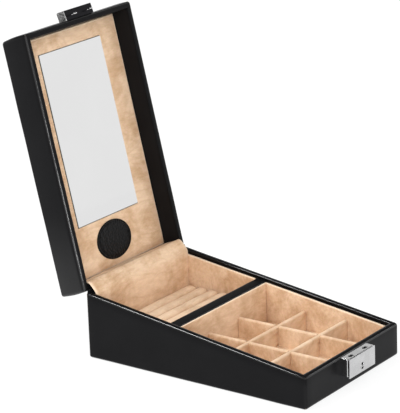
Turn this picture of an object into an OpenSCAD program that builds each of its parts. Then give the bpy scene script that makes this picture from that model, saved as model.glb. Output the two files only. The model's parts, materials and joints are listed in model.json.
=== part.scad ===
// Ring display box with a sloping base, a mirror lid, three by three cells and a ring bay.
// Millimetres. The origin is the middle of the underside, +Z is up, the lock faces -Y,
// and the lid stands open, hinged along the back edge.

/* [Box] */
// Width of the box over the leather
box_w = 116; // [104:1:128]
// Depth of the box over the leather, from the lock's wall to the hinge's wall
box_d = 181; // [172:1:196]
// Height of the base at the front
front_h = 23; // [22:0.5:26]
// Height of the base at the back
back_h = 48; // [44:0.5:52]
// Height of the lid's sides
lid_h = 23.5; // [22:0.5:28]
// Gap between the rims of the closed box
seam_gap = 1.4; // [1.2:0.1:1.8]
// Angle that the open lid has turned from closed
lid_open = 110.7; // [104:0.1:114]
// Rounding of the leather's outer edges
edge_r = 1.4; // [1:0.1:1.5]

/* [Boards and leather] */
// Thickness of the carcass boards
board_t = 3; // [2.6:0.1:3.4]
// Thickness of the leather
leather_t = 0.7; // [0.65:0.05:0.8]
// How far the leather is turned down inside the base's rim
turn_in = 3.2; // [2.6:0.1:4]
// Width of the leather turned under the base
turn_under = 9; // [6:0.5:14]
// How far the underside sheet stands below the turned leather
underside_proud = 0.2; // [0.1:0.05:0.4]
// Thickness of the foam under the lid's leather
lid_foam_t = 2; // [1.5:0.1:3]

/* [Linings] */
// Thickness of the suede covered lining cards
lining_t = 2.3; // [1.8:0.1:2.8]
// Thickness of the floor cards
floor_card_t = 1.6; // [1.2:0.1:2.2]
// Thickness of the card behind the hinge lining
back_card_t = 1.6; // [1.2:0.1:2]
// Thickness of the hinge lining where it is glued down
hinge_lining_t = 1.6; // [1.2:0.1:2]
// Gap between the hinge lining and the leather at each side
hinge_lining_gap = 0.8; // [0.4:0.1:2]
// Radius of the hinge lining's free fold, half its thickness
fold_r = 0.5; // [0.4:0.05:0.6]
// Gap between the free fold and the leather behind it
fold_gap = 0.4; // [0.3:0.05:0.6]
// Clearance between the free fold and the two glued ends of the lining
fold_fit = 0.15; // [0.1:0.01:0.2]
// Height above the lid's rim at which the lining is glued down again
lid_lining_from = 1.8; // [1.6:0.1:2.4]
// How far the glued end in the base overlaps the turned down leather
lining_overlap = 0.6; // [0.4:0.1:1]
// Clearance between the lining's glued end and the sides of the ring bay
lining_end_fit = 0.1; // [0.05:0.01:0.2]
// Clearance between the hinge's folded leather and each rim
spine_fit = 0.3; // [0.2:0.05:0.4]

/* [Partition] */
// Clear length of the ring bay
ring_bay_l = 58.5; // [54:0.5:64]
// Thickness of the partition board
partition_t = 5.2; // [4.6:0.1:6]
// Width of the leather covered rail on the partition
rail_w = 8.6; // [7.6:0.1:9]
// Height of the leather covered rail
rail_h = 3.6; // [3:0.1:5]
// Clearance round the rail
rail_fit = 0.1; // [0.05:0.01:0.2]
// How far the rail's top lies below the rim
rail_drop = 2.4; // [1.8:0.1:3]

/* [Dividers] */
// Thickness of the suede covered dividers
divider_t = 3; // [2.4:0.1:4]
// Height of the dividers' tops above the table
divider_top = 20.2; // [18:0.1:20.2]
// Clearance in the half laps and at the dividers' ends
divider_fit = 0.15; // [0.1:0.05:0.3]

/* [Ring rolls] */
// Height of the rolls' tops above the table
roll_top = 22.2; // [19:0.1:26]
// Gap between neighbouring rolls
roll_gap = 0.3; // [0.2:0.05:0.5]
// Thickness of the foam block under the rolls
pad_t = 4; // [3:0.5:6]
// How far each roll stops short of the side linings
roll_end_fit = 0.3; // [0.2:0.05:0.6]

/* [Lid inside] */
// Thickness of the lining panel
panel_t = 3; // [2.6:0.1:3.6]
// Clearance round the panel, and round the mirror in its pocket
panel_fit = 0.2; // [0.1:0.05:0.3]
// Distance from the lid's side to the mirror
mirror_side_margin = 24.1; // [20:0.1:28]
// Distance from the lid's front end to the mirror, along the rim
mirror_front_margin = 18.9; // [14:0.1:26]
// Thickness of the mirror
mirror_t = 2; // [1.6:0.1:2.4]
// How far the mirror stands out of its pocket
mirror_proud = 0.3; // [0.1:0.05:0.6]
// Distance from the hinge end of the rim to the mirror, along the rim
mirror_from_hinge = 39.8; // [38:0.2:44]
// Width of the oval leather patch
patch_w = 37.8; // [30:0.2:44]
// Length of the oval leather patch
patch_l = 28; // [22:0.2:30]
// Thickness of the leather patch
patch_t = 0.8; // [0.6:0.1:1]
// Distance from the hinge end of the rim to the middle of the patch
patch_from_hinge = 22.5; // [21.5:0.1:23.5]

/* [Lock] */
// Width of the lock's cover
lock_w = 31.8; // [29:0.2:34]
// Height of the lock's bottom edge above the table
lock_bottom = 9; // [7.5:0.1:10]
// Height of the lock's shelf above the table
lock_top = 22.5; // [21.5:0.1:22.5]
// How far the cover's face stands out of the leather
lock_reach = 7.2; // [7:0.1:8]
// Thickness of the cover
lock_plate_t = 0.8; // [0.7:0.05:0.9]
// Width of the lock case
case_w = 29.2; // [28:0.2:29.4]
// Depth of the lock case
case_d = 5.1; // [5:0.1:5.4]
// Thickness of the case's walls
case_wall = 0.6; // [0.5:0.05:0.7]
// How far the case stands back inside the cover, above its bottom edge and behind it
case_setback = 0.5; // [0.3:0.1:0.7]
// Thickness of the shelf that the hooks pass through
shelf_t = 1; // [0.8:0.05:1.1]
// Travel of the cover when it is pressed down
cover_travel = 2.5; // [1.5:0.1:2.8]
// Height of the key barrel's middle above the table
key_z = 13.3; // [12.8:0.1:14]
// Radius of the key barrel
key_r = 2.3; // [2:0.05:2.6]
// Radial running clearance of the key barrel
key_fit = 0.05; // [0.03:0.01:0.08]
// Room round the key barrel in the case's front wall
key_room = 1.2; // [1:0.1:1.4]
// How far the key barrel's flange stands out past its bore
flange_reach = 0.7; // [0.5:0.05:0.8]
// Thickness of the key barrel's flange
flange_t = 0.5; // [0.4:0.05:0.6]
// End play of the key barrel between its flange and the cover
flange_fit = 0.1; // [0.05:0.01:0.15]
// Depth of the keyhole
keyhole_depth = 0.9; // [0.6:0.1:1]
// Distance from the keyhole's middle to each of its round ends
keyhole_reach = 1.4; // [1:0.1:1.5]
// Radius of the keyhole's round ends
keyhole_end_r = 0.5; // [0.4:0.05:0.6]
// Width of the keyhole's slit
keyhole_w = 0.5; // [0.4:0.05:0.6]
// Distance from the middle of the box to each hook
hook_x = 8.6; // [7.5:0.1:9.5]
// Width of each hook
hook_w = 3.2; // [2.6:0.1:3.6]
// Thickness of each hook
hook_t = 1; // [0.8:0.05:1.1]
// Length of each hook below the hasp
hook_l = 4.2; // [3.6:0.1:4.4]
// How far the hooks stand in front of the leather
hook_reach = 3.2; // [3:0.05:3.3]
// Clearance round the hooks in the shelf
hook_fit = 0.3; // [0.2:0.05:0.4]
// Further room in front of the hooks for their swing
swing_fit = 0.1; // [0.1:0.05:0.3]
// Clearance between the catch and the hooks, and between the catch and the case
catch_fit = 0.2; // [0.15:0.01:0.3]
// Distance from the hooks' tips to the catch below them
catch_drop = 0.4; // [0.3:0.05:0.6]
// Room for the spring below the catch when the cover is pressed down
spring_room = 1.3; // [1.1:0.1:1.4]
// Thickness of the spring
spring_t = 0.35; // [0.3:0.01:0.4]
// Half the length of the spring
spring_reach = 9; // [7:0.5:10]
// Width of the spring
spring_w = 1; // [0.8:0.05:1.1]
// Distance from the case's side wall to each stud that carries the catch
stud_inset = 1.7; // [1.5:0.1:1.9]
// Radius of the studs
stud_r = 0.9; // [0.8:0.05:1]
// Clearance round the studs in the case's front wall
stud_fit = 0.15; // [0.1:0.01:0.2]
// Radius of the rivets that hold the lock and the hasp
rivet_r = 0.9; // [0.7:0.05:1.1]
// Distance from the middle of the box to each rivet
rivet_x = 5.5; // [4.5:0.1:7]
// Height of the lock's rivets above the table
rivet_z = 11.6; // [11.6:0.1:12]
// How far the rivets reach into the leather and the board
rivet_l = 3; // [2.4:0.1:3.4]
// Thickness of the lock rivets' heads
rivet_head_t = 0.35; // [0.3:0.01:0.4]
// How far the lock rivets' heads stand out past their shanks
rivet_head_reach = 0.6; // [0.4:0.05:0.8]
// Clearance round the rivets
rivet_fit = 0.05; // [0.03:0.01:0.1]

/* [Hasp] */
// Width of the hasp
hasp_w = 30; // [26:0.2:31]
// Height of the hasp
hasp_h = 7.4; // [6.5:0.1:8.5]
// How far the hasp's face stands out of the leather
hasp_reach = 7.1; // [6.5:0.1:7.4]
// Gap between the closed hasp and the lock's shelf
hasp_gap = 0.5; // [0.3:0.05:0.7]
// Chamfer of the hasp's outer edges
hasp_chamfer = 0.5; // [0.2:0.1:1]
// How far the rivets reach into the hasp
hasp_rivet_depth = 2; // [1.6:0.1:3]

/* [Hidden] */
$fn = 48;
fine_fn = 24;
ball_r = edge_r / cos(180 / fine_fn);
eps = 0.01;
cut = 1;
roll_count = 6;
cell_count = 3;

slope = atan((back_h - front_h) / box_d);
front_y = -box_d / 2;
back_y = box_d / 2;
rise = 1 / cos(slope);

// Faces of the boards, counted from the middle of the box
board_x = box_w / 2 - leather_t;
board_y = back_y - leather_t;
inner_x = board_x - board_t;
inner_y = board_y - board_t;
band_x = inner_x - leather_t;
band_y = inner_y - leather_t;

// Heights in the base
board_z = underside_proud + leather_t;
floor_z = board_z + board_t;
bay_floor_z = floor_z + floor_card_t;

// Faces of the two bays
bay_x = inner_x - lining_t;
front_bay_y0 = -inner_y + lining_t;
ring_bay_y1 = inner_y - back_card_t - hinge_lining_t;
ring_bay_y0 = ring_bay_y1 - ring_bay_l;
front_bay_y1 = ring_bay_y0 - partition_t - 2 * lining_t;
partition_y = (ring_bay_y0 + front_bay_y1) / 2;

// Cells and dividers
cell_w = (2 * bay_x - (cell_count - 1) * divider_t) / cell_count;
cell_l = (front_bay_y1 - front_bay_y0 - (cell_count - 1) * divider_t) / cell_count;
divider_x = (cell_w + divider_t) / 2;
divider_row_y = front_bay_y0 + cell_l + divider_t / 2;
lap_z = (bay_floor_z + divider_top) / 2;

// Ring rolls
roll_pitch = ring_bay_l / roll_count;
roll_r = (roll_pitch - roll_gap) / 2;
roll_z = bay_floor_z + pad_t;

// Hinge axis, inside the leather at the back
hinge_y = back_y - leather_t / 2;
hinge_z = back_h + seam_gap / 2;
spine_r = seam_gap / 2 - spine_fit;
hinge_lining_w = 2 * (band_x - hinge_lining_gap);
fold_y = band_y - fold_gap - fold_r;
base_lining_z = rim_z(ring_bay_y1) - turn_in + lining_overlap;

// Layers of the lid, square to its rim
lid_t = lid_h * cos(slope);
lid_foam_top = lid_t - leather_t;
lid_board_top = lid_foam_top - lid_foam_t;
lid_ceiling = lid_board_top - board_t;
panel_depth = lid_ceiling - panel_t;
mirror_w = box_w - 2 * mirror_side_margin;
mirror_l = box_d * rise - mirror_from_hinge - mirror_front_margin;

// Lock and hasp
lock_face_y = front_y - lock_reach;
lock_plate_y = lock_face_y + lock_plate_t;
case_y = front_y - case_d;
shelf_y = lock_plate_y + case_setback;
shelf_z = lock_top - shelf_t;
case_bottom = lock_bottom + case_setback;
hook_y = front_y - hook_reach;
hasp_z = lock_top + hasp_gap;
hook_drift = hook_l * (hinge_z - hasp_z) / (hinge_y - hook_y) + swing_fit;
catch_y0 = hook_y + hook_t / 2 + catch_fit;
catch_y1 = front_y - case_wall - catch_fit;
catch_z0 = case_bottom + case_wall + cover_travel + spring_room;
catch_z1 = hasp_z - hook_l - catch_drop;
stud_x = case_w / 2 - case_wall - stud_inset;
stud_z = (catch_z0 + catch_z1) / 2;
rivet_head_r = rivet_r + rivet_head_reach;

leather_colour = "#1e1e20";
board_colour = "#a78a66";
suede_colour = "#d8b494";
metal_colour = "#c4c6c8";
foam_colour = "#e8e2d4";

// Height of the base's rim at a depth y
function rim_z(y) = front_h + (y - front_y) * tan(slope);

// Height of the closed lid at a depth y, a distance t square above its rim
function lid_z(y, t) = rim_z(y) + seam_gap + t * rise;

// Where a point of the closed lid, given as [y, z], lies on the open lid
function opened(p) = let (dy = p[0] - hinge_y, dz = p[1] - hinge_z)
  [hinge_y + dy * cos(lid_open) + dz * sin(lid_open),
   hinge_z - dy * sin(lid_open) + dz * cos(lid_open)];

// A slab across the box, from x0 to x1, of an outline in depth and height
module across(x0, x1, outline) {
  translate([x0, 0, 0])
    rotate([90, 0, 90])
      linear_extrude(x1 - x0)
        polygon(outline);
}

// A wall of the base from y0 to y1 whose top follows the rim, a height drop below it
module base_wall(x0, x1, y0, y1, z0, drop) {
  across(x0, x1, [[y0, z0], [y1, z0], [y1, rim_z(y1) - drop], [y0, rim_z(y0) - drop]]);
}

// A layer of the closed lid from y0 to y1, and from t0 to t1 square above its rim
module lid_layer(x0, x1, y0, y1, t0, t1) {
  across(x0, x1, [[y0, lid_z(y0, t0)], [y1, lid_z(y1, t0)], [y1, lid_z(y1, t1)], [y0, lid_z(y0, t1)]]);
}

// Turns what is drawn for the closed lid about the hinge to where it stands open
module lid_pose() {
  translate([0, hinge_y, hinge_z])
    rotate([-lid_open, 0, 0])
      translate([0, -hinge_y, -hinge_z])
        children();
}

// The flat frame of the closed lid: x across, y along the rim towards the hinge, z above it
module lid_flat() {
  translate([0, back_y, back_h + seam_gap])
    rotate([slope, 0, 0])
      children();
}

// A rounded block between two sloping or level faces, given by their heights at front and back
module rounded_block(front_low, back_low, front_high, back_high) {
  x = box_w / 2 - edge_r;
  y = back_y - edge_r;
  low = edge_r * ((back_low - front_low == 0) ? 1 : rise);
  low_step = (back_low - front_low) / box_d * edge_r;
  high_step = (back_high - front_high) / box_d * edge_r;
  hull()
    for (side = [-1, 1]) {
      translate([side * x, -y, front_low + low_step + low]) sphere(ball_r, $fn = fine_fn);
      translate([side * x, y, back_low - low_step + low]) sphere(ball_r, $fn = fine_fn);
      translate([side * x, -y, front_high + high_step - edge_r * rise]) sphere(ball_r, $fn = fine_fn);
      translate([side * x, y, back_high - high_step - edge_r * rise]) sphere(ball_r, $fn = fine_fn);
    }
}

// Rivets that run into a wall along +Y from y, at a height z
module rivet_row(y, z, r, length) {
  for (side = [-1, 1])
    translate([side * rivet_x, y, z])
      rotate([-90, 0, 0])
        cylinder(r = r, h = length);
}

module lock_rivet_holes() {
  rivet_row(front_y - case_wall - cut, rivet_z, rivet_r + rivet_fit, case_wall + cut + rivet_l + rivet_fit);
}

module hasp_rivet_holes() {
  rivet_row(front_y - cut, hasp_z + hasp_h / 2, rivet_r + rivet_fit, cut + rivet_l + rivet_fit);
}

// The base's carcass

module base_floor_board() {
  color(board_colour)
    translate([-inner_x, -inner_y, board_z])
      cube([2 * inner_x, 2 * inner_y, board_t]);
}

module base_front_board() {
  color(board_colour)
    difference() {
      base_wall(-inner_x, inner_x, -board_y, -inner_y, board_z, leather_t * rise);
      lock_rivet_holes();
    }
}

module base_back_board() {
  color(board_colour)
    base_wall(-inner_x, inner_x, inner_y, board_y, board_z, leather_t * rise);
}

module base_side_board(side) {
  x0 = side < 0 ? -board_x : inner_x;
  color(board_colour)
    base_wall(x0, x0 + board_t, -board_y, board_y, board_z, leather_t * rise);
}

module base_left_board() { base_side_board(-1); }

module base_right_board() { base_side_board(1); }

module base_leather() {
  color(leather_colour)
    difference() {
      rounded_block(underside_proud, underside_proud, front_h, back_h);
      difference() {
        base_wall(-board_x, board_x, -board_y, board_y, board_z, leather_t * rise);
        across(-inner_x, inner_x, [[-inner_y, rim_z(-inner_y) - turn_in],
          [inner_y, rim_z(inner_y) - turn_in], [inner_y, back_h + cut], [-inner_y, back_h + cut]]);
      }
      across(-band_x, band_x, [[-band_y, floor_z], [band_y, floor_z], [band_y, back_h + cut],
        [-band_y, back_h + cut]]);
      translate([-board_x + turn_under, -board_y + turn_under, -cut])
        cube([2 * (board_x - turn_under), 2 * (board_y - turn_under), board_z + cut + eps]);
      lock_rivet_holes();
    }
}

module base_underside_sheet() {
  x = board_x - turn_under;
  y = board_y - turn_under;
  color("#26262a")
    translate([-x, -y, 0])
      cube([2 * x, 2 * y, board_z]);
}

// The partition between the bays, with its leather covered rail

module rail_outline(inset, drop, height) {
  y0 = partition_y - rail_w / 2 + inset;
  y1 = partition_y + rail_w / 2 - inset;
  x = band_x - rail_fit - inset;
  across(-x, x, [[y0, rim_z(y0) - drop - height], [y1, rim_z(y1) - drop - height],
    [y1, rim_z(y1) - drop], [y0, rim_z(y0) - drop]]);
}

module partition_board() {
  y0 = partition_y - partition_t / 2;
  color(board_colour)
    base_wall(-inner_x, inner_x, y0, y0 + partition_t, floor_z, rail_drop + rail_h);
}

module partition_rail() {
  color(board_colour)
    rail_outline(leather_t, rail_drop + leather_t, rail_h - leather_t);
}

module partition_leather() {
  color(leather_colour)
    difference() {
      rail_outline(0, rail_drop, rail_h);
      rail_outline(leather_t, rail_drop + leather_t, rail_h);
    }
}

// Linings of the two bays

module partition_lining(y0) {
  color(suede_colour)
    difference() {
      base_wall(-inner_x, inner_x, y0, y0 + lining_t, floor_z, turn_in);
      translate([0, 0, -rail_fit])
        rail_room();
    }
}

// The room that the rail takes from the tops of the linings beside it
module rail_room() {
  y0 = partition_y - rail_w / 2 - rail_fit;
  y1 = partition_y + rail_w / 2 + rail_fit;
  x = inner_x + cut;
  across(-x, x, [[y0, rim_z(y0) - rail_drop - rail_h], [y1, rim_z(y1) - rail_drop - rail_h],
    [y1, back_h + cut], [y0, back_h + cut]]);
}

module ring_bay_front_lining() { partition_lining(ring_bay_y0 - lining_t); }

module front_bay_rear_lining() { partition_lining(front_bay_y1); }

module front_bay_front_lining() {
  color(suede_colour)
    base_wall(-inner_x, inner_x, -inner_y, front_bay_y0, floor_z, turn_in);
}

module side_lining(side, y0, y1) {
  x0 = side < 0 ? -inner_x : bay_x;
  color(suede_colour)
    base_wall(x0, x0 + lining_t, y0, y1, floor_z, turn_in);
}

module front_bay_left_lining() { side_lining(-1, front_bay_y0, front_bay_y1); }

module front_bay_right_lining() { side_lining(1, front_bay_y0, front_bay_y1); }

module ring_bay_left_lining() { side_lining(-1, ring_bay_y0, inner_y - back_card_t); }

module ring_bay_right_lining() { side_lining(1, ring_bay_y0, inner_y - back_card_t); }

module ring_bay_back_card() {
  color(suede_colour)
    base_wall(-inner_x, inner_x, inner_y - back_card_t, inner_y, floor_z, turn_in);
}

module floor_card(y0, y1) {
  color(suede_colour)
    translate([-bay_x, y0, floor_z])
      cube([2 * bay_x, y1 - y0, floor_card_t]);
}

module front_bay_floor_card() { floor_card(front_bay_y0, front_bay_y1); }

module ring_bay_floor_card() { floor_card(ring_bay_y0, ring_bay_y1); }

// Half lapped dividers: the two long ones are notched from above, the two cross ones from below

module long_divider(side) {
  x = side * divider_x - divider_t / 2;
  color(suede_colour)
    difference() {
      translate([x, front_bay_y0 + divider_fit, bay_floor_z])
        cube([divider_t, front_bay_y1 - front_bay_y0 - 2 * divider_fit, divider_top - bay_floor_z]);
      for (row = [0 : cell_count - 2])
        translate([x - cut, divider_row_y + row * (cell_l + divider_t) - divider_t / 2 - divider_fit, lap_z])
          cube([divider_t + 2 * cut, divider_t + 2 * divider_fit, divider_top]);
    }
}

module cross_divider(row) {
  y = divider_row_y + row * (cell_l + divider_t) - divider_t / 2;
  color(suede_colour)
    difference() {
      translate([-bay_x + divider_fit, y, bay_floor_z])
        cube([2 * (bay_x - divider_fit), divider_t, divider_top - bay_floor_z]);
      for (side = [-1, 1])
        translate([side * divider_x - divider_t / 2 - divider_fit, y - cut, bay_floor_z - cut])
          cube([divider_t + 2 * divider_fit, divider_t + 2 * cut, lap_z + divider_fit - bay_floor_z + cut]);
    }
}

module divider_left() { long_divider(-1); }

module divider_right() { long_divider(1); }

module divider_front() { cross_divider(0); }

module divider_rear() { cross_divider(1); }

// The ring bay's foam block and its padded rolls

module ring_pad_block() {
  color(foam_colour)
    translate([-bay_x + roll_end_fit, ring_bay_y0 + roll_gap / 2, bay_floor_z])
      cube([2 * (bay_x - roll_end_fit), ring_bay_l - roll_gap, pad_t]);
}

// One roll: straight sides, a half round top that holds a ring's band, and drawn in round ends
module ring_roll(number) {
  y = ring_bay_y0 + (number - 0.5) * roll_pitch;
  x = bay_x - roll_end_fit - roll_r;
  crown_z = roll_top - roll_r;
  color(suede_colour)
    translate([0, y, 0])
      union() {
        translate([-x, -roll_r, roll_z]) cube([2 * x, 2 * roll_r, crown_z - roll_z]);
        translate([-x, 0, crown_z]) rotate([0, 90, 0]) cylinder(r = roll_r, h = 2 * x);
        for (side = [-1, 1])
          translate([side * x, 0, 0]) {
            translate([0, 0, roll_z]) cylinder(r = roll_r, h = crown_z - roll_z);
            translate([0, 0, crown_z]) sphere(roll_r);
          }
      }
}

// The hinge: leather outside, a suede lining inside that also stops the open lid

module hinge_lining_base() {
  color(suede_colour)
    translate([-bay_x + lining_end_fit, ring_bay_y1, bay_floor_z])
      cube([2 * (bay_x - lining_end_fit), hinge_lining_t, base_lining_z - bay_floor_z]);
}

module hinge_lining_lid() {
  color(suede_colour)
    lid_pose()
      lid_layer(-hinge_lining_w / 2, hinge_lining_w / 2, band_y - hinge_lining_t, band_y,
        lid_lining_from, panel_depth);
}

// The free part of the lining, drawn over both rims while the lid stands open
module hinge_lining_fold() {
  route = [
    opened([fold_y, lid_z(fold_y, lid_lining_from - fold_r - fold_fit)]),
    opened([fold_y, lid_z(fold_y, -fold_r)]),
    [fold_y, rim_z(fold_y) + fold_r],
    [ring_bay_y1 + hinge_lining_t / 2, base_lining_z + fold_r + fold_fit]
  ];
  color(suede_colour)
    for (i = [0 : len(route) - 2])
      hull()
        for (p = [route[i], route[i + 1]])
          translate([-hinge_lining_w / 2, p[0], p[1]])
            rotate([0, 90, 0])
              cylinder(r = fold_r, h = hinge_lining_w, $fn = fine_fn);
}

// The folded leather that bridges the seam at the back, on the hinge axis
module hinge_spine() {
  length = box_w - 2 * edge_r;
  color(leather_colour)
    translate([-length / 2, hinge_y, hinge_z])
      rotate([0, 90, 0])
        cylinder(r = spine_r, h = length);
}

// The lid's carcass and leather

module lid_top_board() {
  color(board_colour)
    lid_pose()
      lid_layer(-board_x, board_x, -board_y, board_y, lid_ceiling, lid_board_top);
}

module lid_front_board() {
  color(board_colour)
    lid_pose()
      difference() {
        lid_layer(-inner_x, inner_x, -board_y, -inner_y, leather_t, lid_ceiling);
        hasp_rivet_holes();
      }
}

module lid_back_board() {
  color(board_colour)
    lid_pose()
      lid_layer(-inner_x, inner_x, inner_y, board_y, leather_t, lid_ceiling);
}

module lid_side_board(side) {
  x0 = side < 0 ? -board_x : inner_x;
  color(board_colour)
    lid_pose()
      lid_layer(x0, x0 + board_t, -board_y, board_y, leather_t, lid_ceiling);
}

module lid_left_board() { lid_side_board(-1); }

module lid_right_board() { lid_side_board(1); }

module lid_foam() {
  color(foam_colour)
    lid_pose()
      lid_layer(-board_x, board_x, -board_y, board_y, lid_board_top, lid_foam_top);
}

module lid_leather() {
  color(leather_colour)
    lid_pose()
      difference() {
        rounded_block(front_h + seam_gap, back_h + seam_gap,
          front_h + seam_gap + lid_h, back_h + seam_gap + lid_h);
        difference() {
          lid_layer(-board_x, board_x, -board_y, board_y, leather_t, lid_foam_top);
          lid_layer(-inner_x, inner_x, -inner_y, inner_y, -cut, lid_ceiling);
        }
        lid_layer(-band_x, band_x, -band_y, band_y, -cut, lid_ceiling + eps);
        hasp_rivet_holes();
      }
}

// The lid's lining, mirror and patch, drawn flat with y running from the hinge end to the front

module lid_lining_panel() {
  x = band_x - panel_fit;
  color(suede_colour)
    lid_pose()
      difference() {
        lid_layer(-x, x, -band_y + panel_fit, band_y - panel_fit, panel_depth, lid_ceiling);
        lid_flat()
          translate([-mirror_w / 2 - panel_fit, -mirror_from_hinge - mirror_l - panel_fit,
            panel_depth - cut])
            cube([mirror_w + 2 * panel_fit, mirror_l + 2 * panel_fit,
              cut + mirror_t - mirror_proud]);
      }
}

module lid_mirror() {
  color("#dfe6ea")
    lid_pose()
      lid_flat()
        translate([-mirror_w / 2, -mirror_from_hinge - mirror_l, panel_depth - mirror_proud])
          cube([mirror_w, mirror_l, mirror_t]);
}

module lid_patch() {
  color(leather_colour)
    lid_pose()
      lid_flat()
        translate([0, -patch_from_hinge, panel_depth - patch_t])
          linear_extrude(patch_t)
            scale([patch_w / patch_l, 1])
              circle(d = patch_l);
}

// The hasp on the lid's front, with two hooks that drop into the lock

module hasp_block() {
  y0 = front_y - hasp_reach;
  c = hasp_chamfer;
  color(metal_colour)
    lid_pose()
      difference() {
        across(-hasp_w / 2, hasp_w / 2, [[y0, hasp_z], [front_y, hasp_z], [front_y, hasp_z + hasp_h],
          [y0 + c, hasp_z + hasp_h], [y0, hasp_z + hasp_h - c]]);
        rivet_row(front_y - hasp_rivet_depth, hasp_z + hasp_h / 2, rivet_r + rivet_fit,
          hasp_rivet_depth + cut);
      }
}

module hasp_hooks() {
  notch = hook_t / 2;
  color(metal_colour)
    lid_pose()
      for (side = [-1, 1])
        across(side * hook_x - hook_w / 2, side * hook_x + hook_w / 2, [
          [hook_y - hook_t / 2, hasp_z], [hook_y - hook_t / 2, hasp_z - hook_l + notch],
          [hook_y, hasp_z - hook_l], [hook_y + hook_t / 2, hasp_z - hook_l + notch],
          [hook_y + hook_t / 2, hasp_z - hook_l + 3 * notch], [hook_y, hasp_z - hook_l + 3 * notch],
          [hook_y + hook_t / 2, hasp_z - hook_l + 5 * notch], [hook_y + hook_t / 2, hasp_z]]);
}

module hasp_rivets() {
  color(metal_colour)
    lid_pose()
      rivet_row(front_y - hasp_rivet_depth + rivet_fit, hasp_z + hasp_h / 2, rivet_r,
        hasp_rivet_depth - rivet_fit + rivet_l);
}

// The lock: a case on the base's front, a cover that is pressed down, and a key barrel

module lock_case() {
  x = case_w / 2;
  wall = case_wall;
  slot_back = hook_y + hook_t / 2 + hook_fit;
  slot_front = hook_y - hook_t / 2 - hook_fit - hook_drift;
  slot_r = (slot_back - slot_front) / 2;
  color(metal_colour)
    difference() {
      union() {
        translate([-x, case_y, case_bottom]) cube([case_w, case_d, shelf_z - case_bottom]);
        translate([-lock_w / 2, shelf_y, shelf_z]) cube([lock_w, front_y - shelf_y, lock_top - shelf_z]);
      }
      translate([-x + wall, case_y + wall, case_bottom + wall])
        cube([case_w - 2 * wall, case_d - 2 * wall, shelf_z - case_bottom - wall]);
      for (side = [-1, 1]) {
        translate([side * hook_x, (slot_front + slot_back) / 2, shelf_z - cut])
          linear_extrude(lock_top - shelf_z + 2 * cut)
            union() {
              square([hook_w, 2 * slot_r], center = true);
              for (end = [-1, 1])
                translate([end * hook_w / 2, 0]) circle(slot_r);
            }
        hull()
          for (z = [stud_z, stud_z - cover_travel])
            translate([side * stud_x, case_y - cut, z])
              rotate([-90, 0, 0])
                cylinder(r = stud_r + stud_fit, h = wall + 2 * cut, $fn = fine_fn);
      }
      translate([-key_r - key_room, case_y - cut, case_bottom + wall])
        cube([2 * (key_r + key_room), cut + wall + eps,
          key_z + key_r + key_room - case_bottom - wall]);
      lock_rivet_holes();
      rivet_row(front_y - case_wall - eps, rivet_z, rivet_head_r + rivet_fit, rivet_head_t + eps);
    }
}

module lock_cover() {
  color(metal_colour)
    difference() {
      union() {
        translate([-lock_w / 2, lock_face_y, lock_bottom])
          cube([lock_w, lock_plate_t, lock_top - lock_bottom]);
        for (side = [-1, 1])
          translate([side * stud_x, lock_plate_y - eps, stud_z])
            rotate([-90, 0, 0])
              cylinder(r = stud_r, h = catch_y0 - lock_plate_y + eps);
      }
      translate([0, lock_face_y - cut, key_z])
        rotate([-90, 0, 0])
          cylinder(r = key_r + key_fit, h = lock_plate_t + 2 * cut);
    }
}

module lock_catch() {
  color(metal_colour)
    translate([-stud_x - stud_r, catch_y0, catch_z0])
      cube([2 * (stud_x + stud_r), catch_y1 - catch_y0, catch_z1 - catch_z0]);
}

// A bowed leaf under the catch that pushes the cover back up
module lock_spring() {
  low = case_bottom + case_wall;
  mid_y = (catch_y0 + catch_y1) / 2;
  x = spring_reach;
  flat = 1;
  color(metal_colour)
    translate([0, mid_y + spring_w / 2, 0])
      rotate([90, 0, 0])
        linear_extrude(spring_w)
          polygon([[-x, catch_z0 - spring_t], [-flat, low], [flat, low], [x, catch_z0 - spring_t],
            [x, catch_z0], [x - flat, catch_z0], [flat, low + spring_t], [-flat, low + spring_t],
            [-x + flat, catch_z0], [-x, catch_z0]]);
}

module lock_key_barrel() {
  color(metal_colour)
    difference() {
      union() {
        translate([0, lock_face_y, key_z])
          rotate([-90, 0, 0])
            cylinder(r = key_r, h = lock_plate_t + flange_fit + flange_t);
        translate([0, lock_plate_y + flange_fit, key_z])
          rotate([-90, 0, 0])
            cylinder(r = key_r + flange_reach, h = flange_t);
      }
      for (side = [-1, 1])
        translate([0, lock_face_y - cut, key_z + side * keyhole_reach])
          rotate([-90, 0, 0])
            cylinder(r = keyhole_end_r, h = cut + keyhole_depth);
      translate([-keyhole_w / 2, lock_face_y - cut, key_z - keyhole_reach])
        cube([keyhole_w, cut + keyhole_depth, 2 * keyhole_reach]);
    }
}

module lock_rivets() {
  color(metal_colour)
    union() {
      rivet_row(front_y - case_wall, rivet_z, rivet_r, case_wall + rivet_l);
      rivet_row(front_y - case_wall, rivet_z, rivet_head_r, rivet_head_t - rivet_fit);
    }
}

base_floor_board();
base_front_board();
base_back_board();
base_left_board();
base_right_board();
base_leather();
base_underside_sheet();
partition_board();
partition_rail();
partition_leather();
ring_bay_left_lining();
ring_bay_right_lining();
ring_bay_front_lining();
ring_bay_back_card();
ring_bay_floor_card();
ring_pad_block();
ring_roll(1);  // ring_roll_1
ring_roll(2);  // ring_roll_2
ring_roll(3);  // ring_roll_3
ring_roll(4);  // ring_roll_4
ring_roll(5);  // ring_roll_5
ring_roll(6);  // ring_roll_6
front_bay_front_lining();
front_bay_rear_lining();
front_bay_left_lining();
front_bay_right_lining();
front_bay_floor_card();
divider_left();
divider_right();
divider_front();
divider_rear();
hinge_lining_base();
hinge_lining_fold();
hinge_lining_lid();
hinge_spine();
lid_top_board();
lid_front_board();
lid_back_board();
lid_left_board();
lid_right_board();
lid_foam();
lid_leather();
lid_lining_panel();
lid_mirror();
lid_patch();
hasp_block();
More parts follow.
